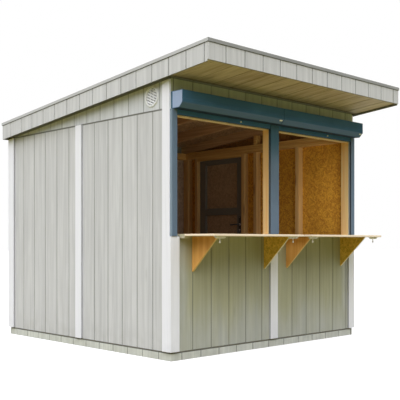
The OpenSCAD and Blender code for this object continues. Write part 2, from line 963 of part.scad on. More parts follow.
module door_ledges() {
  inner = [leaf_y[0] + ledge_w + butt_gap, leaf_y[1] - ledge_w - butt_gap];
  color("dimgray") {
    difference() {
      span(ledge_x, [leaf_y[0], leaf_y[0] + ledge_w], leaf_z);
      handle_bore();
    }
    span(ledge_x, [leaf_y[1] - ledge_w, leaf_y[1]], leaf_z);
    span(ledge_x, inner, [leaf_z[0], leaf_z[0] + ledge_w]);
    span(ledge_x, inner, around(at_share(leaf_z, ledge_mid_share), ledge_rail_h));
    span(ledge_x, inner, [leaf_z[1] - ledge_rail_h, leaf_z[1]]);
  }
}

// Lever handle on both sides of the door, on one spindle
module door_handle() {
  faces = [[x_right, 1], [ledge_x[0], -1]];
  color("silver") {
    translate([ledge_x[0], handle_y, handle_h])
      rotate([0, 90, 0])
        cylinder(h = x_right - ledge_x[0], d = spindle_d);
    for (face = faces) {
      out = face[1];
      translate([face[0] + out * plate_size[0] / 2, handle_y, handle_h])
        cube(plate_size, center = true);
      translate([face[0] + out * lever_out / 2, handle_y, handle_h])
        rotate([0, 90, 0])
          cylinder(h = lever_out, d = lever_d, center = true);
      translate([face[0] + out * lever_out, handle_y, handle_h])
        rotate([-90, 0, 0])
          cylinder(h = lever_l, d = lever_d);
      translate([face[0] + out * lever_out, handle_y, handle_h])
        sphere(d = lever_d);
    }
  }
}

module hinge_straps() {
  color("dimgray")
    for (z = hinge_z)
      difference() {
        union() {
          span([x_right, x_right + strap_t], [hinge_y - strap_l, hinge_y], around(z, strap_w));
          translate([hinge_x, hinge_y, z - strap_w / 2])
            cylinder(h = strap_w, d = eye_d);
        }
        translate([hinge_x, hinge_y, z - strap_w / 2 - over])
          cylinder(h = strap_w + 2 * over, d = hinge_pin_d + 2 * hinge_clear);
      }
}

module hinge_hooks() {
  seat = hinge_clear;
  color("dimgray")
    for (z = hinge_z) {
      foot = z - strap_w / 2 - seat - hook_plate_h;
      span(
        [x_right, x_right + strap_t],
        [hinge_y + door_hinge_gap / 2, hinge_y + hook_plate_l],
        [foot, foot + hook_plate_h]
      );
      span(
        [x_right, hinge_x],
        [hinge_y, hinge_y + eye_d / 2],
        [foot, foot + hook_plate_h]
      );
      translate([hinge_x, hinge_y, foot])
        cylinder(h = hook_plate_h, d = eye_d);
      translate([hinge_x, hinge_y, foot])
        cylinder(h = hook_plate_h + seat + strap_w + hook_rise, d = hinge_pin_d);
    }
}

floor_bearers();
floor_deck();
plinth_boards();
wall_plates();
wall_studs();
front_posts();
front_rails();
rafters();
front_wall_panels();
front_jamb_panels();
front_head_panel();
left_wall_panels();
right_wall_panel();
door_side_panels();
door_head_panel();
gable_panels();
back_wall_panels();
side_corner_boards();
end_corner_boards();
joint_boards();
door_casing();
soffit_panel();
roof_deck();
roof_covering();
front_fascia();
side_fascias();
back_fascia();
roof_edge();
gable_vents();
left_shutter_box();
right_shutter_box();
shutter_end_caps();
shutter_curtains();
guide_rails();
left_counter();
right_counter();
counter_brackets();
counter_bolts();
door_panel();
door_boards();
door_ledges();
door_handle();
hinge_straps();
hinge_hooks();
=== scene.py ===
"""Looks of a wooden market hut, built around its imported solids.

Lengths are metres in the part's own frame: +Z up, the serving front faces -Y,
and the origin lies on the ground under the middle of the floor plan.
"""

import logging
import math
from dataclasses import dataclass
from enum import Enum
from typing import Any, Sequence

import bmesh
import bpy
import numpy as np
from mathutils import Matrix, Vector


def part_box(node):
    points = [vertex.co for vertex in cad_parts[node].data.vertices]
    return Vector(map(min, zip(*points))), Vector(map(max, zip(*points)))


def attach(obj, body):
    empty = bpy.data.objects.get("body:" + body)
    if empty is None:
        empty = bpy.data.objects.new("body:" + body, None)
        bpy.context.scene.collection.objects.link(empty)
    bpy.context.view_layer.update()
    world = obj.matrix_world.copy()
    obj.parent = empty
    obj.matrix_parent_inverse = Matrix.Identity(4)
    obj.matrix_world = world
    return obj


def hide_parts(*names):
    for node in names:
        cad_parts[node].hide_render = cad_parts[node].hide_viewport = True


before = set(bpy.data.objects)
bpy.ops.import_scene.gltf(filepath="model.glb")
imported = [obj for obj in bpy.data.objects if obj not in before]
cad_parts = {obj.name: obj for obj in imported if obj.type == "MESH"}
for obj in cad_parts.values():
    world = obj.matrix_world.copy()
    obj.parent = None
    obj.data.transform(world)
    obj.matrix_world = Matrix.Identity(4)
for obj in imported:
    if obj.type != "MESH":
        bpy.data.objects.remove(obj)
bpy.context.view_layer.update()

LOG = logging.getLogger("hut")
HUT = "hut"
DOOR = "door"
SIDES = ("left", "right")

# Faces, grooves and joints of the solids, which the finishes follow
GROOVE_PITCH = 0.2032
GROOVE_WIDTH = 0.009
FRONT_BOARDS = -1.276
LEFT_BOARDS = -1.202
SIDING_X = 1.183
SIDING_Y = 1.257
INNER_LIMITS = (1.15, 1.22)
EAVES = -1.758
ROOF_LEVEL = 2.208
ROOF_FALL = math.tan(math.radians(5.33))
GABLE_SEAM = 1.98
PLINTH_SEAM = 0.064
SOFFIT_SEAM = 2.219

# Distances from a joint and from the metal edge where a painted shadow line starts and is full
SEAM_LINE = (0.009, 0.005)
ROOF_LINE = (-0.003, 0.002)

# Small sizes that the pieces share
FINE_BEVEL = 0.0004
SMALL_RADIUS = 1e-4
WELD = 2e-5
SHARP_ANGLE = math.radians(32)
BEVEL_ANGLE = math.radians(40)

Rgb = tuple[float, float, float]
Point = tuple[float, float, float]
Pair = tuple[float, float]
Socket = bpy.types.NodeSocket
Feed = Any
Feeds = dict[Any, Feed]


def paint(red: int, green: int, blue: int) -> Rgb:
    """Linear colour of a screen colour given from 0 to 255, by the screen's own curve.

    Args:
        red: Screen red.
        green: Screen green.
        blue: Screen blue.

    Returns:
        The colour as the shader takes it.
    """
    c = np.array([red, green, blue], float) / 255
    linear = np.where(c <= 0.04045, c / 12.92, ((c + 0.055) / 1.055) ** 2.4)
    return tuple(float(v) for v in linear)


def toned(colour: Rgb, factor: float) -> Rgb:
    """Colour made darker or paler, and kept from passing white."""
    return tuple(min(1.0, factor * c) for c in colour)


def groove_starts(side: float, end: float, front: float = FRONT_BOARDS) -> Pair:
    """Place of one groove on the side and end walls, given in pitches past the corner."""
    return front + side * GROOVE_PITCH, LEFT_BOARDS + end * GROOVE_PITCH


WALL_GROOVES = groove_starts(0.2, 0.21)
WHITE_COAT = paint(242, 241, 247)


class Axis(Enum):
    """Direction that a piece or its grain runs along."""

    X = 0
    Y = 1
    Z = 2


class Facing(Enum):
    """Way that a shape's third axis looks, by its directions across and up."""

    LEFT = ((0, 0, 1), (0, 1, 0))
    RIGHT = ((0, 1, 0), (0, 0, 1))
    FRONT = ((1, 0, 0), (0, 0, 1))
    DOWN = ((1, 0, 0), (0, -1, 0))
    FRONT_DOWN = ((1, 0, 0), (0, -1, 1))


# Surfaces


@dataclass
class Shape:
    """Points and faces of one or more closed surfaces."""

    points: np.ndarray
    faces: list[list[int]]

    def placed(self, origin: Point, across: Point, up: Point) -> "Shape":
        """Shape set on a plane: P = origin + a across + b up + c (across x up).

        Args:
            origin: Where the shape's own origin goes.
            across: Direction of its first axis.
            up: Direction of its second axis.

        Returns:
            The moved shape.
        """
        a = np.array(across, float) / np.linalg.norm(across)
        b = np.array(up, float) / np.linalg.norm(up)
        turn = np.stack([a, b, np.cross(a, b)])
        return Shape(self.points @ turn + np.array(origin), self.faces)

    def repeated(self, offsets: Sequence[Point]) -> "Shape":
        """Copies of the shape as one shape, one moved by each offset."""
        return joined([Shape(self.points + np.array(o), self.faces) for o in offsets])


def joined(shapes: Sequence[Shape]) -> Shape:
    """All shapes as one.

    Args:
        shapes: The shapes to put together.

    Returns:
        One shape with their points in order.
    """
    starts = np.cumsum([0] + [len(s.points) for s in shapes])
    faces = [[i + int(k) for i in f] for k, s in zip(starts, shapes) for f in s.faces]
    return Shape(np.concatenate([s.points for s in shapes]), faces)


def tube(grid: np.ndarray, looped: bool = False) -> Shape:
    """Closed surface from a grid P(i, j) whose rows are rings.

    Args:
        grid: Points by row, then round the ring, then x, y and z.
        looped: Whether the last ring joins the first, instead of flat faces at both ends.

    Returns:
        The surface, with quads (i, j), (i, j+1), (i+1, j+1), (i+1, j).
    """
    rows, cols = grid.shape[:2]
    i, j = np.meshgrid(np.arange(rows if looped else rows - 1), np.arange(cols), indexing="ij")
    k, n = (j + 1) % cols, (i + 1) % rows
    quads = np.stack([i * cols + j, i * cols + k, n * cols + k, n * cols + j], -1)
    faces = quads.reshape(-1, 4).tolist()
    if not looped:
        faces.append(list(range(cols - 1, -1, -1)))
        faces.append(list(range((rows - 1) * cols, rows * cols)))
    return Shape(grid.reshape(-1, 3), faces)


def rounded(
    corners: Sequence[Sequence[float]], radii: Sequence[float], steps: int = 4
) -> np.ndarray:
    """Closed outline whose corners are arcs.

    A corner with edge directions u and v has the arc's centre on their bisector,
    at r / sin(half angle), and points run from one tangent point to the other
    with weights sin((1 - t) w) / sin w and sin(t w) / sin w.

    Args:
        corners: Corner points in the plane, in order.
        radii: Radius at each corner.
        steps: Number of chords in each arc.

    Returns:
        The outline's points in order.
    """
    p = np.array(corners, float)
    r = np.maximum(np.array(radii, float), SMALL_RADIUS)[:, None]
    u = np.roll(p, 1, 0) - p
    v = np.roll(p, -1, 0) - p
    u /= np.linalg.norm(u, axis=1, keepdims=True)
    v /= np.linalg.norm(v, axis=1, keepdims=True)
    angle = np.arccos(np.clip((u * v).sum(1, keepdims=True), -1, 1))
    bisector = (u + v) / np.linalg.norm(u + v, axis=1, keepdims=True)
    centre = p + bisector * r / np.sin(angle / 2)
    reach = r / np.tan(angle / 2)
    a, b = p + u * reach - centre, p + v * reach - centre
    w = (math.pi - angle)[:, None, :]
    t = np.linspace(0, 1, steps + 1)[None, :, None]
    arc = (np.sin((1 - t) * w) * a[:, None] + np.sin(t * w) * b[:, None]) / np.sin(w)
    return (centre[:, None] + arc).reshape(-1, 2)


def rectangle(width: float, height: float, radius: float, steps: int = 4) -> np.ndarray:
    """Rectangle about the origin with arcs for corners."""
    a, b = width / 2, height / 2
    return rounded([(-a, -b), (a, -b), (a, b), (-a, b)], [radius] * 4, steps)


def circle(radius: float, segments: int = 16) -> np.ndarray:
    """Points of a circle: (r cos a, r sin a)."""
    a = np.linspace(0, 2 * math.pi, segments, endpoint=False)
    return radius * np.stack([np.cos(a), np.sin(a)], 1)


def shrunk(outline: np.ndarray, inset: Sequence[float]) -> np.ndarray:
    """Outline moved inwards along its own normals, once for each inset.

    Args:
        outline: Points in order, anticlockwise or clockwise.
        inset: Distances inwards.

    Returns:
        One outline per inset.
    """
    along = np.roll(outline, -1, 0) - np.roll(outline, 1, 0)
    along /= np.linalg.norm(along, axis=1, keepdims=True)
    inwards = np.stack([-along[:, 1], along[:, 0]], 1)
    after = np.roll(outline, -1, 0)
    turn = np.sign((outline[:, 0] * after[:, 1] - after[:, 0] * outline[:, 1]).sum())
    return outline[None] + turn * inwards[None] * np.array(inset, float)[:, None, None]


def prism(
    outline: np.ndarray, low: float, high: float, axis: Axis, bevel: float = 0.0008
) -> Shape:
    """Outline carried straight along an axis, with bevelled ends.

    P(i, j) = outline_j drawn in by inset_i, at place s_i along the axis, where the
    insets are bevel, 0, 0, bevel and the places low, low + bevel, high - bevel, high.

    Args:
        outline: Points in the plane of the other two axes, in their order.
        low: Lower end along the axis.
        high: Upper end along the axis.
        axis: The axis.
        bevel: Size of the bevel at the ends.

    Returns:
        The closed prism.
    """
    rings = shrunk(outline, [bevel, 0, 0, bevel])
    place = np.array([low, low + bevel, high - bevel, high])[:, None]
    parts = [rings[..., 0], rings[..., 1]]
    parts.insert(axis.value, np.broadcast_to(place, rings.shape[:2]))
    return tube(np.stack(parts, -1))


def lathe(profile: Sequence[Pair], segments: int = 16, looped: bool = False) -> Shape:
    """Profile turned about its own third axis: P = (r cos a, r sin a, h).

    Args:
        profile: Radius and height of each ring, in order.
        segments: Number of points round a ring.
        looped: Whether the profile closes on itself, so that the shape is a hoop.

    Returns:
        The closed turned shape.
    """
    rings = np.array(profile, float)[:, None]
    turned = rings[..., :1] * circle(1.0, segments)
    rise = np.broadcast_to(rings[..., 1:], (*turned.shape[:2], 1))
    return tube(np.concatenate([turned, rise], -1), looped)


def swept(path: np.ndarray, outline: np.ndarray, side: Point) -> Shape:
    """Outline carried along a path: P(i, j) = path_i + a_j U_i + b_j V_i.

    U is the side direction made square to the path, and V is square to both.

    Args:
        path: Points of the path, in order.
        outline: Points of the outline about the path.
        side: Direction that the outline's first axis keeps to.

    Returns:
        The closed swept shape.
    """
    along = np.gradient(path, axis=0)
    along /= np.linalg.norm(along, axis=1, keepdims=True)
    u = np.array(side, float) - (along @ np.array(side, float))[:, None] * along
    u /= np.linalg.norm(u, axis=1, keepdims=True)
    v = np.cross(along, u)
    a, b = outline[None, :, :1], outline[None, :, 1:]
    return tube(path[:, None] + a * u[:, None] + b * v[:, None])


def screw_head(radius: float) -> Shape:
    """Low domed screw head with a round recess: a profile in shares of its radius and height.

    Args:
        radius: Radius of the head.

    Returns:
        The head, standing on its own plane with its axis along the third direction.
    """
    shares = [(1, 0), (1, 0.35), (0.86, 0.8), (0.5, 1), (0.4, 1), (0.34, 0.35), (0.05, 0.3)]
    return lathe(np.array(shares) * (radius, 0.42 * radius), 12)


def make_piece(
    name: str,
    shape: Shape,
    finish: "Finish",
    body: str,
    stands_for: Sequence[str] = (),
) -> None:
    """Puts a shape into the scene as a piece that rides on a body.

    Args:
        name: Name of the piece.
        shape: Its surface.
        finish: What it is made of.
        body: The body that it rides on.
        stands_for: Solids that it replaces.
    """
    mesh = bpy.data.meshes.new(name)
    mesh.from_pydata(shape.points.tolist(), [], shape.faces)
    work = bmesh.new()
    work.from_mesh(mesh)
    bmesh.ops.recalc_face_normals(work, faces=work.faces)
    work.to_mesh(mesh)
    work.free()
    mesh.polygons.foreach_set("use_smooth", np.ones(len(mesh.polygons), bool))
    mesh.set_sharp_from_angle(angle=SHARP_ANGLE)
    mesh.materials.append(finish.material())
    piece = bpy.data.objects.new(name, mesh)
    bpy.context.scene.collection.objects.link(piece)
    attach(piece, body)
    if stands_for:
        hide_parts(*stands_for)
    LOG.info("piece %s: %d faces on %s", name, len(mesh.polygons), body)


def dress(finish: "Finish", *nodes: str, edge: float = 0.0) -> None:
    """Gives solids their finish, and rounds their edges a little.

    Args:
        finish: The finish.
        nodes: Names of the solids.
        edge: Size of the rounding, or 0 for none.
    """
    for name in nodes:
        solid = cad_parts[name]
        solid.data.materials.clear()
        solid.data.materials.append(finish.material())
        if edge:
            solid.modifiers.new("weld", "WELD").merge_threshold = WELD
            bevel = solid.modifiers.new("edges", "BEVEL")
            bevel.width = edge
            bevel.segments = 2
            bevel.limit_method = "ANGLE"
            bevel.angle_limit = BEVEL_ANGLE
        LOG.info("solid %s: %s", name, finish.name)


# Shader nodes


class Tree:
    """Short calls that wire shader nodes together."""

    def __init__(self, tree: bpy.types.NodeTree) -> None:
        """Keeps the tree that the nodes go into."""
        self.tree = tree

    def feed(self, socket: Socket, value: Feed) -> None:
        """Links or sets an input.

        Args:
            socket: The input.
            value: A socket to link, a number, a vector or a colour.
        """
        if isinstance(value, Socket):
            self.tree.links.new(value, socket)
        elif socket.type == "RGBA" and len(value) == 3:
            socket.default_value = (*value, 1.0)
        else:
            socket.default_value = value

    def add(self, kind: str, feeds: Feeds | None = None, **settings: Any) -> bpy.types.Node:
        """Makes a node.

        Args:
            kind: Blender's name of the node type.
            feeds: Values for its inputs, by name or number.
            settings: Values for its properties.

        Returns:
            The node.
        """
        node = self.tree.nodes.new(kind)
        for key, value in settings.items():
            setattr(node, key, value)
        for key, value in (feeds or {}).items():
            self.feed(node.inputs[key], value)
        return node

    def math(self, operation: str, a: Feed, b: Feed = 0.0) -> Socket:
        """Result of one of Blender's operations on two values."""
        return self.add("ShaderNodeMath", {0: a, 1: b}, operation=operation).outputs[0]

    def times(self, a: Feed, b: Feed) -> Socket:
        """Product of two values."""
        return self.math("MULTIPLY", a, b)

    def minus(self, a: Feed, b: Feed) -> Socket:
        """Difference of two values."""
        return self.math("SUBTRACT", a, b)

    def larger(self, a: Feed, b: Feed) -> Socket:
        """The larger of two values."""
        return self.math("MAXIMUM", a, b)

    def above(self, a: Feed, b: Feed) -> Socket:
        """Share that is 1 where the first value is above the second."""
        return self.math("GREATER_THAN", a, b)

    def absolute(self, value: Feed) -> Socket:
        """Value without its sign."""
        return self.math("ABSOLUTE", value)

    def total(self, first: tuple[Feed, Feed], *others: tuple[Feed, Feed]) -> Socket:
        """Sum of products.

        Args:
            first: Two values that are multiplied.
            others: Further values that are multiplied two by two and added.

        Returns:
            The sum.
        """
        result = self.times(*first)
        for pair in others:
            result = self.math("ADD", result, self.times(*pair))
        return result

    def mix(self, share: Feed, a: Feed, b: Feed) -> Socket:
        """Colour between two colours, by the share of the second."""
        return self.add("ShaderNodeMix", {0: share, 6: a, 7: b}, data_type="RGBA").outputs[2]

    def tinted(self, colour: Feed, tint: Feed, share: Feed, amount: float) -> Socket:
        """Colour moved towards a tint by an amount, where a share is 1."""
        return self.mix(self.times(share, amount), colour, tint)

    def remap(
        self,
        value: Feed,
        low: Feed = 0.0,
        high: Feed = 1.0,
        to_low: float = 0.0,
        to_high: float = 1.0,
    ) -> Socket:
        """Value moved smoothly from one range to another, and kept in it.

        Args:
            value: The value.
            low: Start of its range.
            high: End of its range.
            to_low: Result at the start.
            to_high: Result at the end.

        Returns:
            The result.
        """
        feeds = {"Value": value, "From Min": low, "From Max": high}
        feeds |= {"To Min": to_low, "To Max": to_high}
        return self.add("ShaderNodeMapRange", feeds, interpolation_type="SMOOTHSTEP").outputs[0]

    def scaled(self, vector: Socket, factors: Feed) -> Socket:
        """Vector with each part multiplied."""
        feeds = {0: vector, 1: factors}
        return self.add("ShaderNodeVectorMath", feeds, operation="MULTIPLY").outputs[0]

    def parts(self, vector: Socket) -> tuple[Socket, Socket, Socket]:
        """The x, y and z of a vector."""
        return tuple(self.add("ShaderNodeSeparateXYZ", {0: vector}).outputs)

    def vector(self, x: Feed, y: Feed, z: Feed) -> Socket:
        """Vector of three values."""
        return self.add("ShaderNodeCombineXYZ", {0: x, 1: y, 2: z}).outputs[0]

    def noise(
        self, vector: Socket, detail: float, distortion: float = 0.0, scale: float = 1.0
    ) -> Socket:
        """Cloudy value about one half.

        Args:
            vector: Place.
            detail: Number of finer layers.
            distortion: How far the clouds are pulled about.
            scale: Number of clouds in a unit.

        Returns:
            The value.
        """
        feeds = {"Vector": vector, "Scale": scale, "Detail": detail, "Distortion": distortion}
        return self.add("ShaderNodeTexNoise", feeds).outputs[0]

    def group(self, name: str, feeds: Feeds) -> bpy.types.bpy_prop_collection:
        """Places a shared effect and gives its outputs by name."""
        return self.add("ShaderNodeGroup", feeds, node_tree=bpy.data.node_groups[name]).outputs

    def bump(self, height: Socket, depth: float, strength: float) -> Socket:
        """Normal of a surface on which a height of 1 stands for the depth."""
        feeds = {"Height": height, "Distance": depth, "Strength": strength}
        return self.add("ShaderNodeBump", feeds).outputs[0]


class Effects:
    """Shared effects, each a node group that is built once."""

    FLOAT = "NodeSocketFloat"
    VECTOR = "NodeSocketVector"
    # Turn and stretch of each layer of strands
    STRAND_LAYERS = ((0.35, 3.6), (1.25, 3.0), (-0.7, 3.3), (2.3, 2.6))

    def build(self) -> None:
        """Builds all effects."""
        self.wood_grain()
        self.strand_board()
        self.groove_lines()
        self.soil()
        self.skin()

    def start(self, name: str, inputs: Feeds, outputs: Sequence[str]) -> tuple[Tree, Any, Any]:
        """Opens a new group.

        Args:
            name: Name of the effect.
            inputs: Start value of each number, or None for a vector, by name.
            outputs: Names of the values that it gives.

        Returns:
            The tree, its inputs by name and its outputs by name.
        """
        group = bpy.data.node_groups.new(name, "ShaderNodeTree")
        for key, value in inputs.items():
            kind = self.VECTOR if value is None else self.FLOAT
            socket = group.interface.new_socket(key, in_out="INPUT", socket_type=kind)
            if value is not None:
                socket.default_value = value
        for key in outputs:
            group.interface.new_socket(key, in_out="OUTPUT", socket_type=self.FLOAT)
        tree = Tree(group)
        return tree, tree.add("NodeGroupInput").outputs, tree.add("NodeGroupOutput").inputs

    def wood_grain(self) -> None:
        """Grain along the vector's third axis: broad streaks, fine fibres and knots."""
        tree, inside, out = self.start(
            "wood_grain",
            {"Vector": None, "Across": 40.0, "Along": 1.6, "Knots": 0.3},
            ["Tone", "Fibre", "Knot"],
        )
        spread = tree.vector(inside["Across"], inside["Across"], inside["Along"])
        place = tree.scaled(inside["Vector"], spread)
        tone = tree.noise(place, detail=4.0, distortion=0.5)
        fibre = tree.noise(tree.scaled(place, (5.0, 5.0, 1.6)), detail=2.0, distortion=0.3)
        cells = tree.add(
            "ShaderNodeTexVoronoi",
            {"Vector": tree.scaled(place, (0.3, 0.3, 1.7)), "Scale": 1.0, "Randomness": 1.0},
        )
        draw = tree.parts(cells.outputs["Color"])[0]
        chosen = tree.math("LESS_THAN", draw, inside["Knots"])
        spot = tree.remap(cells.outputs["Distance"], 0.2, 0.05)
        tree.feed(out["Tone"], tree.remap(tone, 0.25, 0.75))
        tree.feed(out["Fibre"], tree.remap(fibre, 0.25, 0.75))
        tree.feed(out["Knot"], tree.times(spot, chosen))

    def strand_board(self) -> None:
        """Pressed wood strands: layers of long cells, each turned, the highest on top."""
        inputs = {"Vector": None, "Size": 0.032}
        tree, inside, out = self.start("strand_board", inputs, ["Tone", "Height"])
        size = tree.math("DIVIDE", 1.0, inside["Size"])
        place = tree.scaled(inside["Vector"], tree.vector(size, size, size))
        height: Feed = 0.0
        tone: Feed = 0.0
        for turn, stretch in self.STRAND_LAYERS:
            feeds = {"Vector": place, "Rotation": (0.0, 0.0, turn)}
            turned = tree.add("ShaderNodeMapping", feeds).outputs[0]
            cells = tree.add(
                "ShaderNodeTexVoronoi",
                {"Vector": tree.scaled(turned, (1.0, stretch, 1.0)), "Scale": 1.0},
                voronoi_dimensions="2D",
            )
            lift, shade, _ = tree.parts(cells.outputs["Color"])
            fibre = tree.noise(tree.scaled(turned, (1.5, 30.0, 1.0)), detail=1.0)
            shade = tree.total((shade, 0.75), (fibre, 0.25))
            above = tree.above(lift, height)
            tone = tree.total((tone, tree.minus(1.0, above)), (shade, above))
            height = tree.larger(lift, height)
        tree.feed(out["Tone"], tone)
        tree.feed(out["Height"], height)

    def groove_lines(self) -> None:
        """Painted shade in lines where the grooves run, and a value that differs from strip to
        strip.
        """
        tree, inside, out = self.start(
            "groove_lines",
            {"Position": 0.0, "Start": 0.0, "Pitch": GROOVE_PITCH, "Width": GROOVE_WIDTH},
            ["Line", "Strip"],
        )
        off = tree.minus(inside["Position"], inside["Start"])
        turns = tree.math("DIVIDE", off, inside["Pitch"])
        off = tree.absolute(tree.minus(turns, tree.math("ROUND", turns)))
        off = tree.times(off, inside["Pitch"])
        start, full = tree.times(inside["Width"], 0.62), tree.times(inside["Width"], 0.5)
        tree.feed(out["Line"], tree.remap(off, start, full))
        number = {"W": tree.math("FLOOR", turns)}
        strip = tree.add("ShaderNodeTexWhiteNoise", number, noise_dimensions="1D")
        tree.feed(out["Strip"], strip.outputs["Value"])

    def soil(self) -> None:
        """Splashes that thin out above the ground, and faint blotches all over."""
        inputs = {"Vector": None, "Reach": 0.35}
        tree, inside, out = self.start("soil", inputs, ["Splash", "Blotch"])
        place = inside["Vector"]
        fall = tree.remap(tree.parts(place)[2], inside["Reach"], 0.0)
        cloud = tree.remap(tree.noise(place, detail=5.0, scale=9.0), 0.35, 0.7)
        tree.feed(out["Splash"], tree.times(fall, cloud))
        tree.feed(out["Blotch"], tree.remap(tree.noise(place, detail=4.0, scale=2.3), 0.3, 0.7))

    def skin(self) -> None:
        """Skin of a coat of paint: slow changes of tone, and the fine grain of the coat."""
        tree, inside, out = self.start("skin", {"Vector": None, "Grain": 500.0}, ["Tone", "Fine"])
        place, grain = inside["Vector"], inside["Grain"]
        tree.feed(out["Tone"], tree.remap(tree.noise(place, detail=3.0, scale=3.1), 0.3, 0.7))
        fine = tree.scaled(place, tree.vector(grain, grain, grain))
        tree.feed(out["Fine"], tree.noise(fine, detail=2.0))


class Surface(Tree):
    """Nodes of one material, with each point's place and the direction that it faces."""

    def __init__(self, material: bpy.types.Material) -> None:
        """Starts from the material's own shader.

        Args:
            material: The material, whose nodes are in use.
        """
        super().__init__(material.node_tree)
        self.shader = material.node_tree.nodes["Principled BSDF"].inputs
        source = self.add("ShaderNodeTexCoord").outputs
        self.place = source["Object"]
        self.x, self.y, self.z = self.parts(self.place)
        self.nx, self.ny, self.nz = self.parts(source["Normal"])

    def cover(self, colour: Feed, rough: Feed, normal: Feed) -> None:
        """Feeds the shader's colour, roughness and normal."""
        for key, value in (("Base Color", colour), ("Roughness", rough), ("Normal", normal)):
            self.feed(self.shader[key], value)

    def grain(self, axis: Axis, across: float, along: float, knots: float = 0.0) -> Any:
        """Wood grain that runs along an axis.

        Args:
            axis: Direction of the grain.
            across: Number of streaks in a metre.
            along: Number of changes along a metre of them.
            knots: Share of the places for a knot that have one.

        Returns:
            The outputs of the shared effect, by name.
        """
        x, y, z = self.x, self.y, self.z
        order = {Axis.X: (y, z, x), Axis.Y: (z, x, y), Axis.Z: (x, y, z)}[axis]
        feeds = {"Vector": self.vector(*order), "Across": across, "Along": along, "Knots": knots}
        return self.group("wood_grain", feeds)

    def soil(self, reach: float) -> Any:
        """Outputs of the shared soil, whose splashes reach up to a height."""
        return self.group("soil", {"Vector": self.place, "Reach": reach})

    def skin(self, grain: float = 500.0, scale: float = 1.0) -> Any:
        """Outputs of the shared skin, by the number of its grains in a metre."""
        return self.group("skin", {"Vector": self.scaled(self.place, (scale,) * 3), "Grain": grain})

    def strands(self, across: Feed, up: Feed, light: Rgb, dark: Rgb) -> tuple[Socket, Socket]:
        """Colour and height of strand board on a plane with the given directions."""
        board = self.group("strand_board", {"Vector": self.vector(across, up, 0.0)})
        return self.mix(self.remap(board["Tone"]), dark, light), board["Height"]

    def sawn(self, colour: Socket, edge: Rgb, grain: Socket) -> Socket:
        """Colour of an upright board whose sawn edges are paler than its two broad faces, partly as
        a painted highlight.

        Args:
            colour: Colour of the broad faces, which look sideways.
            edge: Colour of the edges.
            grain: Value that the edges change with.

        Returns:
            The colour.
        """
        sawn = self.mix(grain, toned(edge, 0.88), edge)
        return self.mix(self.remap(self.absolute(self.nx), 0.3, 0.7), sawn, colour)


# Finishes


@dataclass(frozen=True)
class Finish:
    """What a piece is made of, as one material."""

    name: str

    def material(self) -> bpy.types.Material:
        """The material, made the first time that it is asked for.

        Returns:
            The material.
        """
        title = "hut_" + self.name
        if title not in bpy.data.materials:
            made = bpy.data.materials.new(title)
            made.use_nodes = True
            self.wire(Surface(made))
        return bpy.data.materials[title]

    def wire(self, tree: Surface) -> None:
        """Feeds the shader's inputs."""
        raise NotImplementedError


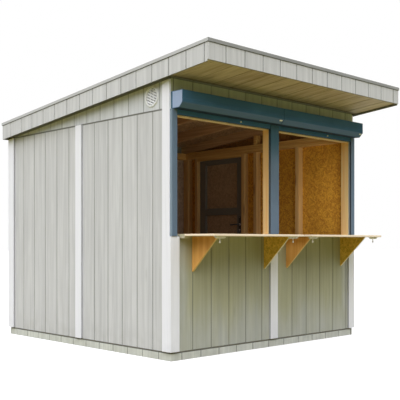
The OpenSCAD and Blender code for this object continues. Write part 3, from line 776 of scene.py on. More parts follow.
@dataclass(frozen=True)
class GroovedSheet(Finish):
    """Grooved siding sheet: painted outside, bare strand board inside."""

    starts: Pair
    coat: Rgb = paint(207, 206, 206)
    shadow: Rgb = paint(96, 96, 84)
    strands: tuple[Rgb, Rgb] = (paint(216, 160, 48), paint(166, 106, 20))
    # Levels of joints that get a painted shadow line, and the rise over ROOF_LEVEL above which one
    # runs along the roof's slope
    seams: tuple[float, ...] = ()
    roof_shadow_level: float = 0.0
    splash: Rgb = paint(120, 116, 96)
    # Paler coat, painted light low on the front and at its ends, with the levels, ends and rise
    # that place it
    lit_coat: Rgb | None = None
    lit_levels: Pair = (0.78, 0.34)
    lit_ends: Pair = (0.97, 1.07)
    lit_rise: float = 0.5

    def joint_and_roof_shadows(self, tree: Surface, line: Socket) -> Socket:
        """Adds painted shadow lines at the sheets' level joints, under the roof's metal edge and
        under the fascia.

        Args:
            tree: The material's nodes.
            line: The lines so far.

        Returns:
            All lines together.
        """
        for level in self.seams:
            off = tree.absolute(tree.minus(tree.z, level))
            line = tree.larger(line, tree.remap(off, *SEAM_LINE))
        if self.roof_shadow_level:
            fall = tree.times(tree.minus(tree.y, FRONT_BOARDS), ROOF_FALL)
            lift = tree.minus(tree.math("ADD", tree.z, fall), ROOF_LEVEL + self.roof_shadow_level)
            line = tree.larger(line, tree.remap(lift, *ROOF_LINE))
        return line

    def streaked(self, tree: Surface, coat: Rgb, streak: Socket) -> Socket:
        """Coat that goes from dark to pale along its streaks."""
        return tree.mix(streak, toned(coat, 0.78), toned(coat, 1.12))

    def splash_and_painted_light(self, tree: Surface, coat: Socket, streak: Socket) -> Socket:
        """Coat with splashes near the ground, or with painted light that makes it paler low down
        and at the front's ends.

        Args:
            tree: The material's nodes.
            coat: The coat's colour.
            streak: Share of the streaks' pale colour.

        Returns:
            The colour.
        """
        if not self.lit_coat:
            return tree.tinted(coat, self.splash, tree.soil(reach=0.3)["Splash"], amount=0.22)
        # Painted light: the paler coat shows below a ragged level and at the front's ends
        run = tree.noise(tree.scaled(tree.place, (6.0, 6.0, 0.7)), detail=3.0, distortion=0.6)
        level = tree.math("ADD", tree.z, tree.times(run, self.lit_rise))
        ends = tree.remap(tree.absolute(tree.x), *self.lit_ends)
        share = tree.larger(tree.remap(level, *self.lit_levels), ends)
        return tree.mix(share, coat, self.streaked(tree, self.lit_coat, streak))

    def inner_face(self, tree: Surface) -> Socket:
        """Share that is 1 on a wall's inner face, which looks back towards the hut's middle.

        Args:
            tree: The material's nodes.

        Returns:
            The share, which leaves out the grooves' own sides.
        """
        shares = []
        for at, facing, limit in zip((tree.x, tree.y), (tree.nx, tree.ny), INNER_LIMITS):
            inward = tree.math("LESS_THAN", tree.times(at, facing), -0.5)
            shares.append(tree.times(inward, tree.above(tree.absolute(at), limit)))
        return tree.larger(*shares)

    def wire(self, tree: Surface) -> None:
        """Feeds the shader's inputs.

        Args:
            tree: The material's nodes.
        """
        sideways = tree.above(tree.absolute(tree.nx), 0.5)
        endways = tree.above(tree.absolute(tree.ny), 0.5)
        side, end = (
            tree.group("groove_lines", {"Position": at, "Start": start})
            for at, start in zip((tree.y, tree.x), self.starts)
        )
        line = tree.total((side["Line"], sideways), (end["Line"], endways))
        line = self.joint_and_roof_shadows(tree, tree.math("MINIMUM", line, 1.0))
        # Painted shade on faces that look down, such as the sheets' lower edges
        line = tree.larger(line, tree.remap(tree.nz, -0.5, -0.8))
        strip = tree.total((side["Strip"], sideways), (end["Strip"], endways))
        grain = tree.grain(Axis.Z, across=34.0, along=1.3, knots=0.12)
        streak = tree.total((grain["Tone"], 0.6), (grain["Fibre"], 0.25), (strip, 0.15))
        coat = self.splash_and_painted_light(tree, self.streaked(tree, self.coat, streak), streak)
        cloud = tree.noise(tree.scaled(tree.place, (9.0, 9.0, 3.0)), detail=4.0, distortion=0.6)
        mottle = tree.remap(cloud, 0.35, 0.65)
        coat = tree.tinted(coat, toned(self.coat, 0.86), mottle, amount=0.3)
        coat = tree.tinted(coat, self.shadow, grain["Knot"], amount=0.16)
        # Painted shade: grooves, joints, the roof's edge and downward faces take the shadow colour
        coat = tree.tinted(coat, self.shadow, line, amount=0.8)
        across = tree.total((tree.x, endways), (tree.y, sideways))
        bare, lift = tree.strands(across, tree.z, *self.strands)
        inside = self.inner_face(tree)
        relief = tree.total((grain["Tone"], 1.0), (grain["Fibre"], 0.8), (lift, inside))
        rough = tree.remap(grain["Fibre"], to_low=0.62, to_high=0.75)
        normal = tree.bump(relief, depth=0.0008, strength=0.7)
        tree.cover(tree.mix(inside, coat, bare), rough, normal)


@dataclass(frozen=True)
class PaintedBoard(Finish):
    """Board under an opaque coat, with its grain just showing."""

    coat: Rgb
    axis: Axis = Axis.Z
    rough: float = 0.55
    edge_tone: float = 1.0

    def outer_face(self, tree: Surface) -> Socket:
        """Share that is 1 on faces that look away from the walls, and 0 on the boards' edges.

        Args:
            tree: The material's nodes.

        Returns:
            The share.
        """
        faces = []
        for at, facing, limit in ((tree.x, tree.nx, SIDING_X), (tree.y, tree.ny, SIDING_Y)):
            outside = tree.above(tree.absolute(at), limit)
            faces.append(tree.times(tree.absolute(facing), outside))
        return tree.remap(tree.larger(*faces), 0.3, 0.8)

    def wire(self, tree: Surface) -> None:
        """Feeds the shader's inputs.

        Args:
            tree: The material's nodes.
        """
        grain = tree.grain(self.axis, across=60.0, along=1.5)
        skin = tree.skin()
        dark = toned(self.coat, 0.9)
        colour = tree.tinted(self.coat, dark, grain["Tone"], amount=0.6)
        colour = tree.tinted(colour, dark, skin["Tone"], amount=0.12)
        splash = tree.soil(reach=0.25)["Splash"]
        colour = tree.tinted(colour, toned(self.coat, 0.55), splash, amount=0.25)
        if self.edge_tone < 1.0:
            colour = tree.mix(self.outer_face(tree), toned(self.coat, self.edge_tone), colour)
        rough = tree.remap(skin["Fine"], 0.2, 0.8, self.rough - 0.06, self.rough + 0.06)
        relief = tree.total((grain["Fibre"], 1.0), (skin["Fine"], 0.3))
        tree.cover(colour, rough, tree.bump(relief, depth=0.0004, strength=0.6))


@dataclass(frozen=True)
class Softwood(Finish):
    """Planed softwood with growth rings, fibres and knots."""

    axis: Axis = Axis.Z
    light: Rgb = paint(222, 184, 114)
    dark: Rgb = paint(178, 128, 60)
    knot: Rgb = paint(96, 52, 24)
    rough: float = 0.6
    scale: float = 55.0
    edge: Rgb | None = None

    def wire(self, tree: Surface) -> None:
        """Feeds the shader's inputs.

        Args:
            tree: The material's nodes.
        """
        grain = tree.grain(self.axis, across=self.scale, along=1.1, knots=0.3)
        tone = tree.total((grain["Tone"], 0.75), (grain["Fibre"], 0.25))
        colour = tree.mix(tone, self.light, self.dark)
        colour = tree.tinted(colour, self.dark, tree.soil(reach=0.1)["Blotch"], amount=0.2)
        colour = tree.tinted(colour, self.knot, grain["Knot"], amount=0.75)
        if self.edge:
            colour = tree.sawn(colour, self.edge, grain["Fibre"])
        rough = tree.remap(grain["Fibre"], to_low=self.rough - 0.08, to_high=self.rough + 0.08)
        tree.cover(colour, rough, tree.bump(grain["Fibre"], depth=0.0004, strength=0.5))


@dataclass(frozen=True)
class StrandBoard(Finish):
    """Bare strand board that faces along one axis."""

    facing: Axis
    light: Rgb = paint(196, 162, 116)
    dark: Rgb = paint(126, 96, 62)
    edge: Rgb | None = None

    def wire(self, tree: Surface) -> None:
        """Feeds the shader's inputs.

        Args:
            tree: The material's nodes.
        """
        plane = [tree.x, tree.y, tree.z]
        del plane[self.facing.value]
        colour, lift = tree.strands(*plane, self.light, self.dark)
        colour = tree.tinted(colour, self.dark, tree.soil(reach=0.1)["Blotch"], amount=0.25)
        if self.edge:
            colour = tree.sawn(colour, self.edge, lift)
        rough = tree.remap(lift, 0.4, 1.0, 0.75, 0.5)
        tree.cover(colour, rough, tree.bump(lift, depth=0.0012, strength=0.6))


@dataclass(frozen=True)
class BareSheet(Finish):
    """Unpainted grooved sheet, grain along the roof's fall, darker next to the wall."""

    start: float
    light: Rgb = paint(209, 192, 163)
    dark: Rgb = paint(165, 144, 111)
    shadow: Rgb = paint(86, 72, 46)
    shade_from: float = 0.05
    shade_full: float = 0.015

    def wire(self, tree: Surface) -> None:
        """Feeds the shader's inputs.

        Args:
            tree: The material's nodes.
        """
        grain = tree.grain(Axis.Y, across=30.0, along=1.6, knots=0.2)
        lines = tree.group("groove_lines", {"Position": tree.x, "Start": self.start})
        tone = tree.total((grain["Tone"], 0.7), (lines["Strip"], 0.3))
        colour = tree.mix(tone, self.light, self.dark)
        colour = tree.tinted(colour, self.shadow, grain["Knot"], amount=0.4)
        # Painted shade in the grooves, and darker towards the wall
        colour = tree.tinted(colour, self.shadow, lines["Line"], amount=0.28)
        limits = (-SIDING_Y - self.shade_from, -SIDING_Y - self.shade_full)
        colour = tree.mix(tree.remap(tree.y, *limits, to_high=0.7), colour, self.shadow)
        rough = tree.remap(grain["Fibre"], to_low=0.6, to_high=0.75)
        tree.cover(colour, rough, tree.bump(grain["Tone"], depth=0.0008, strength=0.6))


@dataclass(frozen=True)
class MetalPaint(Finish):
    """Powder-coated sheet metal, with other tones: painted light on its sides, a tone on its
    slopes, painted shade on its foot and shaded middle.
    """

    coat: Rgb
    rough: float = 0.38
    dust: float = 0.1
    gloss: float = 0.5
    lit_side_coat: Rgb | None = None
    slope_coat: Rgb | None = None
    underside_shade_coat: Rgb | None = None
    shade_coat: Rgb | None = None
    shade_levels: Pair = (1.55, 1.86)
    shade_half: Pair = (0.2, 0.1)
    dust_coat: Rgb = paint(150, 146, 136)

    def wire(self, tree: Surface) -> None:
        """Feeds the shader's inputs.

        Args:
            tree: The material's nodes.
        """
        tree.shader["Specular IOR Level"].default_value = self.gloss
        skin, blotch = tree.skin(grain=900.0), tree.soil(reach=0.4)["Blotch"]
        colour = tree.mix(skin["Tone"], toned(self.coat, 0.82), self.coat)
        # Painted light on the sides, a tone on the slopes and painted shade on the foot
        for coat, facing, limits in (
            (self.lit_side_coat, tree.absolute(tree.nx), (0.4, 0.8)),
            (self.slope_coat, tree.nz, (-0.1, -0.5)),
            (self.underside_shade_coat, tree.nz, (-0.8, -0.95)),
        ):
            if coat:
                colour = tree.mix(tree.remap(facing, *limits), colour, coat)
        if self.shade_coat:
            middle = tree.remap(tree.absolute(tree.x), *self.shade_half)
            shade = tree.times(tree.remap(tree.z, *self.shade_levels), middle)
            colour = tree.mix(shade, colour, self.shade_coat)
        lying = tree.times(tree.remap(tree.nz, 0.3, 1.0), 0.3)
        film = tree.times(blotch, tree.math("ADD", lying, self.dust))
        rough = tree.remap(blotch, to_low=self.rough - 0.05, to_high=self.rough + 0.09)
        normal = tree.bump(skin["Fine"], depth=0.0001, strength=0.5)
        tree.cover(tree.mix(film, colour, self.dust_coat), rough, normal)


@dataclass(frozen=True)
class BareMetal(Finish):
    """Plated or brushed metal."""

    tint: Rgb
    rough: float = 0.35
    axis: Axis = Axis.X
    metallic: float = 0.85

    def wire(self, tree: Surface) -> None:
        """Feeds the shader's inputs.

        Args:
            tree: The material's nodes.
        """
        tree.shader["Metallic"].default_value = self.metallic
        grain = tree.grain(self.axis, across=900.0, along=30.0)
        colour = tree.mix(tree.skin(scale=9.0)["Tone"], self.tint, toned(self.tint, 0.72))
        rough = tree.remap(grain["Tone"], to_low=self.rough - 0.08, to_high=self.rough + 0.12)
        tree.cover(colour, rough, tree.bump(grain["Fibre"], depth=0.00008, strength=0.5))


@dataclass(frozen=True)
class Moulded(Finish):
    """Moulded plastic or rubber."""

    tint: Rgb
    rough: float = 0.5

    def wire(self, tree: Surface) -> None:
        """Feeds the shader's inputs.

        Args:
            tree: The material's nodes.
        """
        skin = tree.skin(grain=300.0, scale=4.0)
        colour = tree.mix(skin["Tone"], self.tint, toned(self.tint, 0.86))
        rough = tree.remap(skin["Tone"], to_low=self.rough - 0.05, to_high=self.rough + 0.08)
        tree.cover(colour, rough, tree.bump(skin["Fine"], depth=0.00015, strength=0.5))


@dataclass(frozen=True)
class Membrane(Finish):
    """Matt roof membrane with drying marks and fine grit."""

    tint: Rgb = paint(74, 75, 77)
    pale: Rgb = paint(120, 119, 114)

    def wire(self, tree: Surface) -> None:
        """Feeds the shader's inputs.

        Args:
            tree: The material's nodes.
        """
        fine, blotch = tree.skin(grain=420.0)["Fine"], tree.soil(reach=0.1)["Blotch"]
        colour = tree.mix(tree.remap(fine, 0.4, 0.75), self.tint, toned(self.tint, 1.5))
        colour = tree.tinted(colour, self.pale, blotch, amount=0.4)
        rough = tree.remap(blotch, to_low=0.8, to_high=0.92)
        tree.cover(colour, rough, tree.bump(fine, depth=0.0008, strength=0.6))


@dataclass(frozen=True)
class LayeredBoard(Finish):
    """Varnished board whose edges show its thin layers."""

    face: Rgb = paint(232, 206, 158)
    edge: Rgb = paint(246, 228, 204)
    glue: Rgb = paint(206, 172, 118)
    knot: Rgb = paint(150, 104, 56)
    layers: float = 1047.0

    def wire(self, tree: Surface) -> None:
        """Feeds the shader's inputs.

        Args:
            tree: The material's nodes.
        """
        grain = tree.grain(Axis.X, across=26.0, along=1.2, knots=0.1)
        face = tree.tinted(self.face, self.glue, grain["Tone"], amount=0.55)
        face = tree.tinted(face, self.knot, grain["Knot"], amount=0.4)
        layer = tree.absolute(tree.math("SINE", tree.times(tree.z, self.layers)))
        edge = tree.mix(tree.remap(layer, 0.25, 0.0, to_high=0.6), self.edge, self.glue)
        colour = tree.mix(tree.remap(tree.absolute(tree.nz), 0.4, 0.7), edge, face)
        rough = tree.remap(grain["Fibre"], to_low=0.4, to_high=0.55)
        tree.cover(colour, rough, tree.bump(grain["Fibre"], depth=0.0003, strength=0.4))


# Sub-assemblies


@dataclass
class Floor:
    """Bearers, deck and plinth."""

    edge: float = 0.0012

    def dress(self) -> None:
        """Finishes the solids."""
        dress(Softwood("bearer_wood", Axis.X), "floor_bearers", edge=self.edge)
        dress(StrandBoard("deck_strand", Axis.Z), "floor_deck")
        # Painted light: the plinth's coat is a paler copy of the wall coat; painted shade: darker
        # groove lines and a shadow at its top joint
        plinth = GroovedSheet(
            "plinth_sheet",
            groove_starts(0.85, 0.65),
            paint(212, 213, 205),
            paint(72, 72, 60),
            strands=(paint(96, 96, 84), paint(72, 72, 62)),
            seams=(PLINTH_SEAM,),
        )
        dress(plinth, "plinth_boards", edge=self.edge)


@dataclass
class TimberFrame:
    """Plates, studs, posts, rails and rafters."""

    PLATE_WOOD = ("plate_wood", Axis.Y)

    edge: float = 0.002
    plate_d: float = 0.070
    plate_h: float = 0.038
    plate_end: float = 0.001
    stud_y: float = 0.008
    stud_w: float = 0.045
    rafter_seat: float = 0.030
    gap: float = 0.0005

    def build(self) -> None:
        """Finishes the solids, and builds each side wall's second plate with a short stud on it.

        Each is an outline in y and z, cut to the roof's slope, carried across the wall.
        """
        self.dress()
        low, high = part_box("wall_plates")
        foot, top = GABLE_SEAM + self.gap, GABLE_SEAM + self.plate_h
        level = ROOF_LEVEL + self.rafter_seat
        meet = FRONT_BOARDS + (level - top) / ROOF_FALL
        rear = high.y - self.plate_d - self.plate_end
        near, far = self.stud_y - self.stud_w / 2, self.stud_y + self.stud_w / 2
        under = {y: level - (y - FRONT_BOARDS) * ROOF_FALL for y in (rear, near, far)}
        plate = [(low.y, foot), (rear, foot), (rear, under[rear]), (meet, top), (low.y, top)]
        base = top + self.gap
        stud = [(near, base), (far, base), (far, under[far]), (near, under[near])]
        left = (low.x + self.gap, low.x + self.plate_d)
        right = (high.x - self.plate_d, high.x - self.gap)
        outlines = [rounded(corners, [self.edge] * len(corners)) for corners in (plate, stud)]
        timbers = [prism(o, *side, Axis.X, self.edge) for o in outlines for side in (left, right)]
        wood = Softwood(*self.PLATE_WOOD)
        make_piece("gable_framing", joined(timbers), wood, HUT)

    def dress(self) -> None:
        """Finishes the solids."""
        woods = {
            "wall_studs": ("upright_wood", Axis.Z, paint(222, 186, 124), paint(178, 132, 74)),
            # Painted light: the front posts and rails take paler copies of the frame wood, as if
            # lit at the hatches
            "front_posts": ("post_wood", Axis.Z, paint(255, 229, 168), paint(250, 199, 126)),
            "wall_plates": self.PLATE_WOOD,
            "front_rails": ("beam_wood", Axis.X, paint(255, 246, 222), paint(255, 226, 180)),
            "rafters": ("rafter_wood", Axis.Y, paint(204, 168, 122), paint(158, 118, 76)),
        }
        for node, wood in woods.items():
            dress(Softwood(*wood), node, edge=self.edge)


@dataclass
class Walls:
    """Grooved sheets and the white boards over their corners and joints."""

    edge: float = 0.001
    board_edge: float = 0.002
    board_edge_tone: float = 0.45
    # Rise over ROOF_LEVEL along the slope above which the gable gets a painted shadow under the
    # fascia
    gable_top: float = 0.005
    # Painted shade: the front sheet's olive coat is a darker copy of the wall coat; its foot and
    # ends take a paler copy as painted light
    front_shaded_coat: Rgb = paint(173, 171, 141)
    front_lit_coat: Rgb = paint(184, 185, 176)
    # Painted shade: olive, darker copy of the wall coat on the head panel under the eaves
    head_shaded_coat: Rgb = paint(177, 181, 146)
    # Painted light: paler copy of the wall coat on the gables, which lie in the roof's shade
    gable_lit_coat: Rgb = paint(214, 215, 217)

    def dress(self) -> None:
        """Finishes the solids."""
        wall = GroovedSheet("wall_sheet", WALL_GROOVES, seams=(GABLE_SEAM, PLINTH_SEAM))
        back = GroovedSheet(
            "back_sheet",
            WALL_GROOVES,
            strands=(paint(186, 164, 142), paint(148, 128, 108)),
            seams=wall.seams,
        )
        front = GroovedSheet(
            "front_sheet",
            WALL_GROOVES,
            self.front_shaded_coat,
            seams=(PLINTH_SEAM,),
            lit_coat=self.front_lit_coat,
        )
        head = GroovedSheet("head_sheet", WALL_GROOVES, self.head_shaded_coat, seams=(SOFFIT_SEAM,))
        gable = GroovedSheet(
            "gable_sheet",
            groove_starts(0.78, 0.0),
            self.gable_lit_coat,
            strands=(paint(150, 104, 48), paint(104, 70, 28)),
            seams=(GABLE_SEAM,),
            roof_shadow_level=self.gable_top,
        )
        for sheet, *nodes in (
            (wall, "left_wall_panels", "right_wall_panel", "door_side_panels", "door_head_panel"),
            (back, "back_wall_panels"),
            (front, "front_wall_panels", "front_jamb_panels"),
            (head, "front_head_panel"),
            (gable, "gable_panels"),
        ):
            dress(sheet, *nodes, edge=self.edge)
        white = PaintedBoard("white_coat", WHITE_COAT, edge_tone=self.board_edge_tone)
        boards = ("side_corner_boards", "end_corner_boards", "joint_boards", "door_casing")
        dress(white, *boards, edge=self.board_edge)


@dataclass
class Roof:
    """Soffit, deck, covering, fascias and metal edge."""

    edge: float = 0.001
    metal_edge: float = 0.0012
    # Rise over ROOF_LEVEL along the slope above which the fascia gets a painted shadow under the
    # metal edge
    metal_foot: float = 0.1375

    def dress(self) -> None:
        """Finishes the solids."""
        dress(BareSheet("soffit_sheet", WALL_GROOVES[1]), "soffit_panel", edge=self.edge)
        dress(StrandBoard("roof_strand", Axis.Z), "roof_deck")
        dress(Membrane("roof_membrane"), "roof_covering")
        fascia = GroovedSheet(
            "fascia_sheet",
            groove_starts(0.205, 0.64, EAVES),
            shadow=paint(78, 78, 68),
            strands=(paint(132, 130, 112), paint(104, 102, 86)),
            roof_shadow_level=self.metal_foot,
        )
        dress(fascia, "front_fascia", "side_fascias", "back_fascia", edge=self.edge)
        # Painted light: the metal's sides are paler than its front
        metal = MetalPaint("edge_coat", paint(148, 148, 146), 0.42, lit_side_coat=paint(190, 190, 190))
        dress(metal, "roof_edge", edge=self.metal_edge)


@dataclass
class Vents:
    """Round vent in each gable."""

    ring_r: float = 0.084
    spigot_r: float = 0.072
    bore_r: float = 0.068
    proud: float = 0.010
    rim: float = 0.0065
    sheet_t: float = 0.011
    lift: float = 0.006
    ahead: float = 0.005
    blade_w: float = 0.0132
    blade_t: float = 0.0022
    pitch: float = 0.0212
    count: int = 6
    slant: float = math.radians(-24.0)
    tilt: float = math.radians(62.0)
    rib_w: float = 0.007
    rib_d: float = 0.004
    rib_off: float = 0.021
    rib_back: float = 0.002
    seat: float = 0.002
    corner: float = 0.001
    segments: int = 48

    def build(self) -> None:
        """Builds the rings with their blades, and the screens behind them."""
        low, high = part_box("gable_vents")
        middle = (low + high) / 2
        grilles, screens = [], []
        for face, out, facing in ((low.x, -1.0, Facing.LEFT), (high.x, 1.0, Facing.RIGHT)):
            seat = (face - out * self.proud, middle.y - self.ahead, middle.z + self.lift)
            grilles.append(self.ring().placed(seat, *facing.value))
            grilles += self.blades(seat, out) + self.ribs(seat, out)
            screens.append(self.screen().placed(seat, *facing.value))
        white = Moulded("vent_white", paint(242, 242, 242))
        grey = Moulded("screen_grey", paint(184, 184, 184), 0.8)
        make_piece("vent_grilles", joined(grilles), white, HUT, ["gable_vents"])
        make_piece("vent_screens", joined(screens), grey, HUT)

    def ring(self) -> Shape:
        """Hoop turned from a flange with a sloped rim, and a spigot behind it.

        Returns:
            The hoop, about its own third axis.
        """
        profile = [
            (self.bore_r, -self.sheet_t),
            (self.spigot_r, -self.sheet_t),
            (self.spigot_r, 0.0),
            (self.ring_r, 0.0),
            (self.ring_r, self.rim * 0.45),
            (self.ring_r - self.rim * 0.2, self.rim * 0.8),
            (self.ring_r - self.rim * 0.5, self.rim),
            (self.bore_r + self.corner, self.rim),
            (self.bore_r, self.rim - self.corner),
        ]
        return lathe(profile, self.segments, True)

    def screen(self) -> Shape:
        """Shallow dish that closes the bore behind the blades: a turned profile.

        Returns:
            The dish, about its own third axis.
        """
        share = np.array([1.0, 1.0, 0.8, 0.5, 0.2, 0.01])
        rise = np.array([0.0002, 0.0006, 0.0014, 0.0019, 0.0022, 0.0023])
        profile = np.stack([(self.bore_r + self.corner) * share, rise - self.sheet_t], 1)
        return lathe(profile, self.segments)

    def half_chord(self, off: float) -> float:
        """Half length sqrt(r^2 - d^2) of a bar at a distance from the middle, with its seat."""
        return math.sqrt(self.bore_r**2 - off**2) + self.seat

    def ribs(self, seat: Point, out: float) -> list[Shape]:
        """Two upright bars across the bore: a rounded rectangle carried up each chord.

        Args:
            seat: Middle of the ring, on the sheet's face.
            out: Sign of the direction out of the wall.

        Returns:
            The bars.
        """
        half = self.half_chord(self.rib_off)
        bars = []
        for off in (-self.rib_off, self.rib_off):
            outline = rectangle(self.rib_d, self.rib_w, self.corner, 3)
            outline += np.array([seat[0] - out * self.rib_back, seat[1] + off])
            bars.append(prism(outline, seat[2] - half, seat[2] + half, Axis.Z, FINE_BEVEL))
        return bars

    def blades(self, seat: Point, out: float) -> list[Shape]:
        """Slats across the bore: a tilted rectangle carried along each chord of a slanting row.

        Args:
            seat: Middle of the ring, on the sheet's face.
            out: Sign of the direction out of the wall.

        Returns:
            The slats.
        """
        step = np.array([0.0, math.sin(self.slant), math.cos(self.slant)])
        cos, sin = math.cos(self.tilt), math.sin(self.tilt)
        turn = np.array([[cos, -sin], [sin, cos]])
        section = rectangle(self.blade_w, self.blade_t, self.corner, 3) @ turn
        slats = []
        for off in (np.arange(self.count) - (self.count - 1) / 2) * self.pitch:
            half = self.half_chord(off)
            slat = prism(section, -half, half, Axis.Z, FINE_BEVEL)
            slats.append(slat.placed(np.array(seat) + off * step, (out, 0, 0), step))
        return slats


@dataclass
class Shutters:
    """Roller-shutter boxes, end caps, bottom bars and guide rails."""

    STOP = ((0.008, 0.0), (0.008, 0.004), (0.0068, 0.0075), (0.003, 0.009), (0.0004, 0.0092))
    SEAL = ((0.001, -0.004), (0.010, -0.004), (0.009, 0.001), (0.002, 0.001))
    SEAL_RADII = (0.002, 0.002, 0.0004, 0.0004)
    PLASTIC = "vent_plastic"
    RUBBER = "roof_covering"
    METAL = "shutter_metal"

    edge: float = 0.0012
    chamfer: float = 0.040
    bend: float = 0.010
    cap_chamfer: float = 0.036
    cap_bend: float = 0.032
    cap_radii: Point = (0.002, 0.002, 0.004)
    cap_gap: float = 0.0001
    sheet: float = 0.002
    lip: float = 0.0016
    mitre: float = 0.0008
    seam_up: float = 0.030
    top_bends: Point = (0.003, 0.002, 0.001)
    slot_half: float = 0.0085
    curtain_off: float = 0.013
    bar_half: float = 0.0055
    cap_t: float = 0.003
    plate_t: float = 0.0018
    plate_in: float = 0.002
    cover_in: float = 0.005
    cover_rear: float = 0.018
    rail_w: float = 0.053
    mid_mouth: float = 0.0535
    stop_shares: Pair = (0.64, 0.645)
    stop_z: float = 1.954
    plug_w: float = 0.036
    plug_h: float = 0.014
    plug_r: float = 0.0069
    plug_back: float = 0.004
    plug_out: float = 0.003
    plug_bevel: float = 0.001
    plug_end: float = 0.028
    plug_shares: Pair = (0.29, 0.71)
    seal_end: float = 0.034
    brush_in: Pair = (0.001, 0.007)
    brush_off: Pair = (0.0069, 0.0042)
    brush_r: float = 0.0005
    brush_end: float = 0.004

    def build(self) -> None:
        """Builds the boxes, caps, stops, seals and brushes."""
        coat = MetalPaint(
            "shutter_coat",
            paint(62, 102, 130),
            rough=0.5,
            dust=0.02,
            gloss=0.08,
            slope_coat=paint(88, 116, 156),
            # Painted shade on the boxes' undersides
            underside_shade_coat=paint(34, 52, 64),
        )
        self.boxes(coat)
        self.caps(MetalPaint("cap_coat", paint(164, 182, 214), rough=0.4, dust=0.05), coat)
        self.fittings()
        self.brushes()
        rail = MetalPaint(
            "rail_coat",
            paint(104, 124, 144),
            rough=0.45,
            dust=0.05,
            gloss=0.15,
            # Painted light on the rails' sides; painted shade on the middle rail's top
            lit_side_coat=paint(124, 140, 154),
            shade_coat=paint(50, 88, 104),
        )
        dress(rail, "guide_rails", edge=self.edge)
        bar = MetalPaint("bar_coat", paint(74, 120, 172), rough=0.5, dust=0.03, gloss=0.08)
        dress(bar, "shutter_curtains", edge=self.edge)

    def section(self, low: Point, high: Point) -> np.ndarray:
        """Section of a box: a strip of sheet folded round from one side of its slot to the other.

        Args:
            low: Lowest corner of the box.
            high: Highest corner of the box.

        Returns:
            The closed section in y and z.
        """
        front, rear, foot, top = low[1], high[1], low[2], high[2]
        slot = rear - self.curtain_off
        seam = foot + self.chamfer + self.seam_up
        s, fold = self.sheet, self.chamfer + self.mitre
        outer = [
            (slot - self.slot_half, foot),
            (front + self.chamfer, foot),
            (front, foot + self.chamfer),
            (front, seam),
            (front + self.lip, seam + s),
            (front + self.lip, top),
            (rear, top),
            (rear, foot),
            (slot + self.slot_half, foot),
        ]
        inner = [
            (slot + self.slot_half, foot + s),
            (rear - s, foot + s),
            (rear - s, top - s),
            (front + self.lip + s, top - s),
            (front + self.lip + s, seam),
            (front + s, seam - s),
            (front + s, foot + fold),
            (front + fold, foot + s),
            (slot - self.slot_half, foot + s),
        ]
        folds = [0, self.bend, self.bend, self.mitre, self.mitre, *self.top_bends, 0]
        return rounded(outer + inner, folds + folds[::-1], 6)

    def boxes(self, coat: MetalPaint) -> None:
        """Carries the section along each box.

        Args:
            coat: Finish of the boxes.
        """
        for side in SIDES:
            node = side + "_shutter_box"
            low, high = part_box(node)
            shape = prism(self.section(low, high), low.x, high.x, Axis.X, FINE_BEVEL)
            make_piece(side + "_box_cover", shape, coat, HUT, [node])

    def caps(self, pale: MetalPaint, coat: MetalPaint) -> None:
        """Closes the boxes' ends with flush plates, and covers those at the corners in pale metal.

        Args:
            pale: Finish of the covers.
            coat: Finish of the plates.
        """
        plate = self.cap_outline(self.plate_in, 0.0, self.chamfer, self.bend)
        cover = self.cap_outline(self.cover_in, self.cover_rear, self.cap_chamfer, self.cap_bend)
        covers, plates = [], []
        for side, corner in zip(SIDES, (-1, 1)):
            box_low, box_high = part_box(side + "_shutter_box")
            for end, out in ((box_low.x, -1), (box_high.x, 1)):
                near, mid, far = (end + out * t for t in (self.cap_gap, self.plate_t, self.cap_t))
                plates.append(prism(plate, *sorted((near, mid)), Axis.X, FINE_BEVEL))
                if out == corner:
                    covers.append(prism(cover, *sorted((mid, far)), Axis.X, FINE_BEVEL))
        node = ["shutter_end_caps"]
        make_piece("corner_end_covers", joined(covers), pale, HUT, node)
        make_piece("box_end_plates", joined(plates), coat, HUT, node)

    def cap_outline(self, inset: float, rear_in: float, slope: float, bend: float) -> np.ndarray:
        """Outline of an end plate or cover in y and z, whose lower front corner is cut off.

        Args:
            inset: How far it is drawn in at the front, foot and top.
            rear_in: How far it is drawn in at the rear.
            slope: Length that is cut off.
            bend: Radius at both ends of the cut.

        Returns:
            The closed outline.
        """
        low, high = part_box("shutter_end_caps")
        front, rear = low.y + inset, high.y - rear_in
        foot, top = low.z + inset, high.z - inset
        upper = [(rear, foot), (rear, top), (front, top)]
        cut = [(front, foot + slope), (front + slope, foot)]
        return rounded(upper + cut, [*self.cap_radii, bend, bend], 8)

    def fittings(self) -> None:
        """Adds the pale stop on each bar, the oval plugs on the boxes and the bars' seals."""
        stop = lathe(self.STOP, 20)
        oval = rectangle(self.plug_w, self.plug_h, self.plug_r, 6)
        plug = prism(oval, -self.plug_back, self.plug_out, Axis.Z, self.plug_bevel)
        bar_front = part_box("guide_rails")[1].y - self.curtain_off - self.bar_half
        bar_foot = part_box("shutter_curtains")[0].z
        seal = rounded(np.array(self.SEAL) + (bar_front, bar_foot), self.SEAL_RADII)
        stops, plugs, seals = [], [], []
        for side, share in zip(SIDES, self.stop_shares):
            low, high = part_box(side + "_shutter_box")
            x = low.x + share * (high.x - low.x)
            stops.append(stop.placed((x, bar_front, self.stop_z), *Facing.FRONT.value))
            y, z = (start + self.chamfer * s for start, s in zip(low.yz, self.plug_shares))
            plugs.append(plug.placed((high.x - self.plug_end, y, z), *Facing.FRONT_DOWN.value))
            seals.append(prism(seal, low.x + self.seal_end, high.x - self.seal_end, Axis.X))
        white = Moulded("stop_white", paint(238, 238, 232))
        grey = Moulded("plug_grey", paint(236, 238, 234))
        black = Moulded("seal_black", paint(34, 34, 35), 0.7)
        make_piece("bar_stops", joined(stops), white, HUT)
        make_piece("box_plugs", joined(plugs), grey, HUT)
        make_piece("bar_seals", joined(seals), black, HUT)

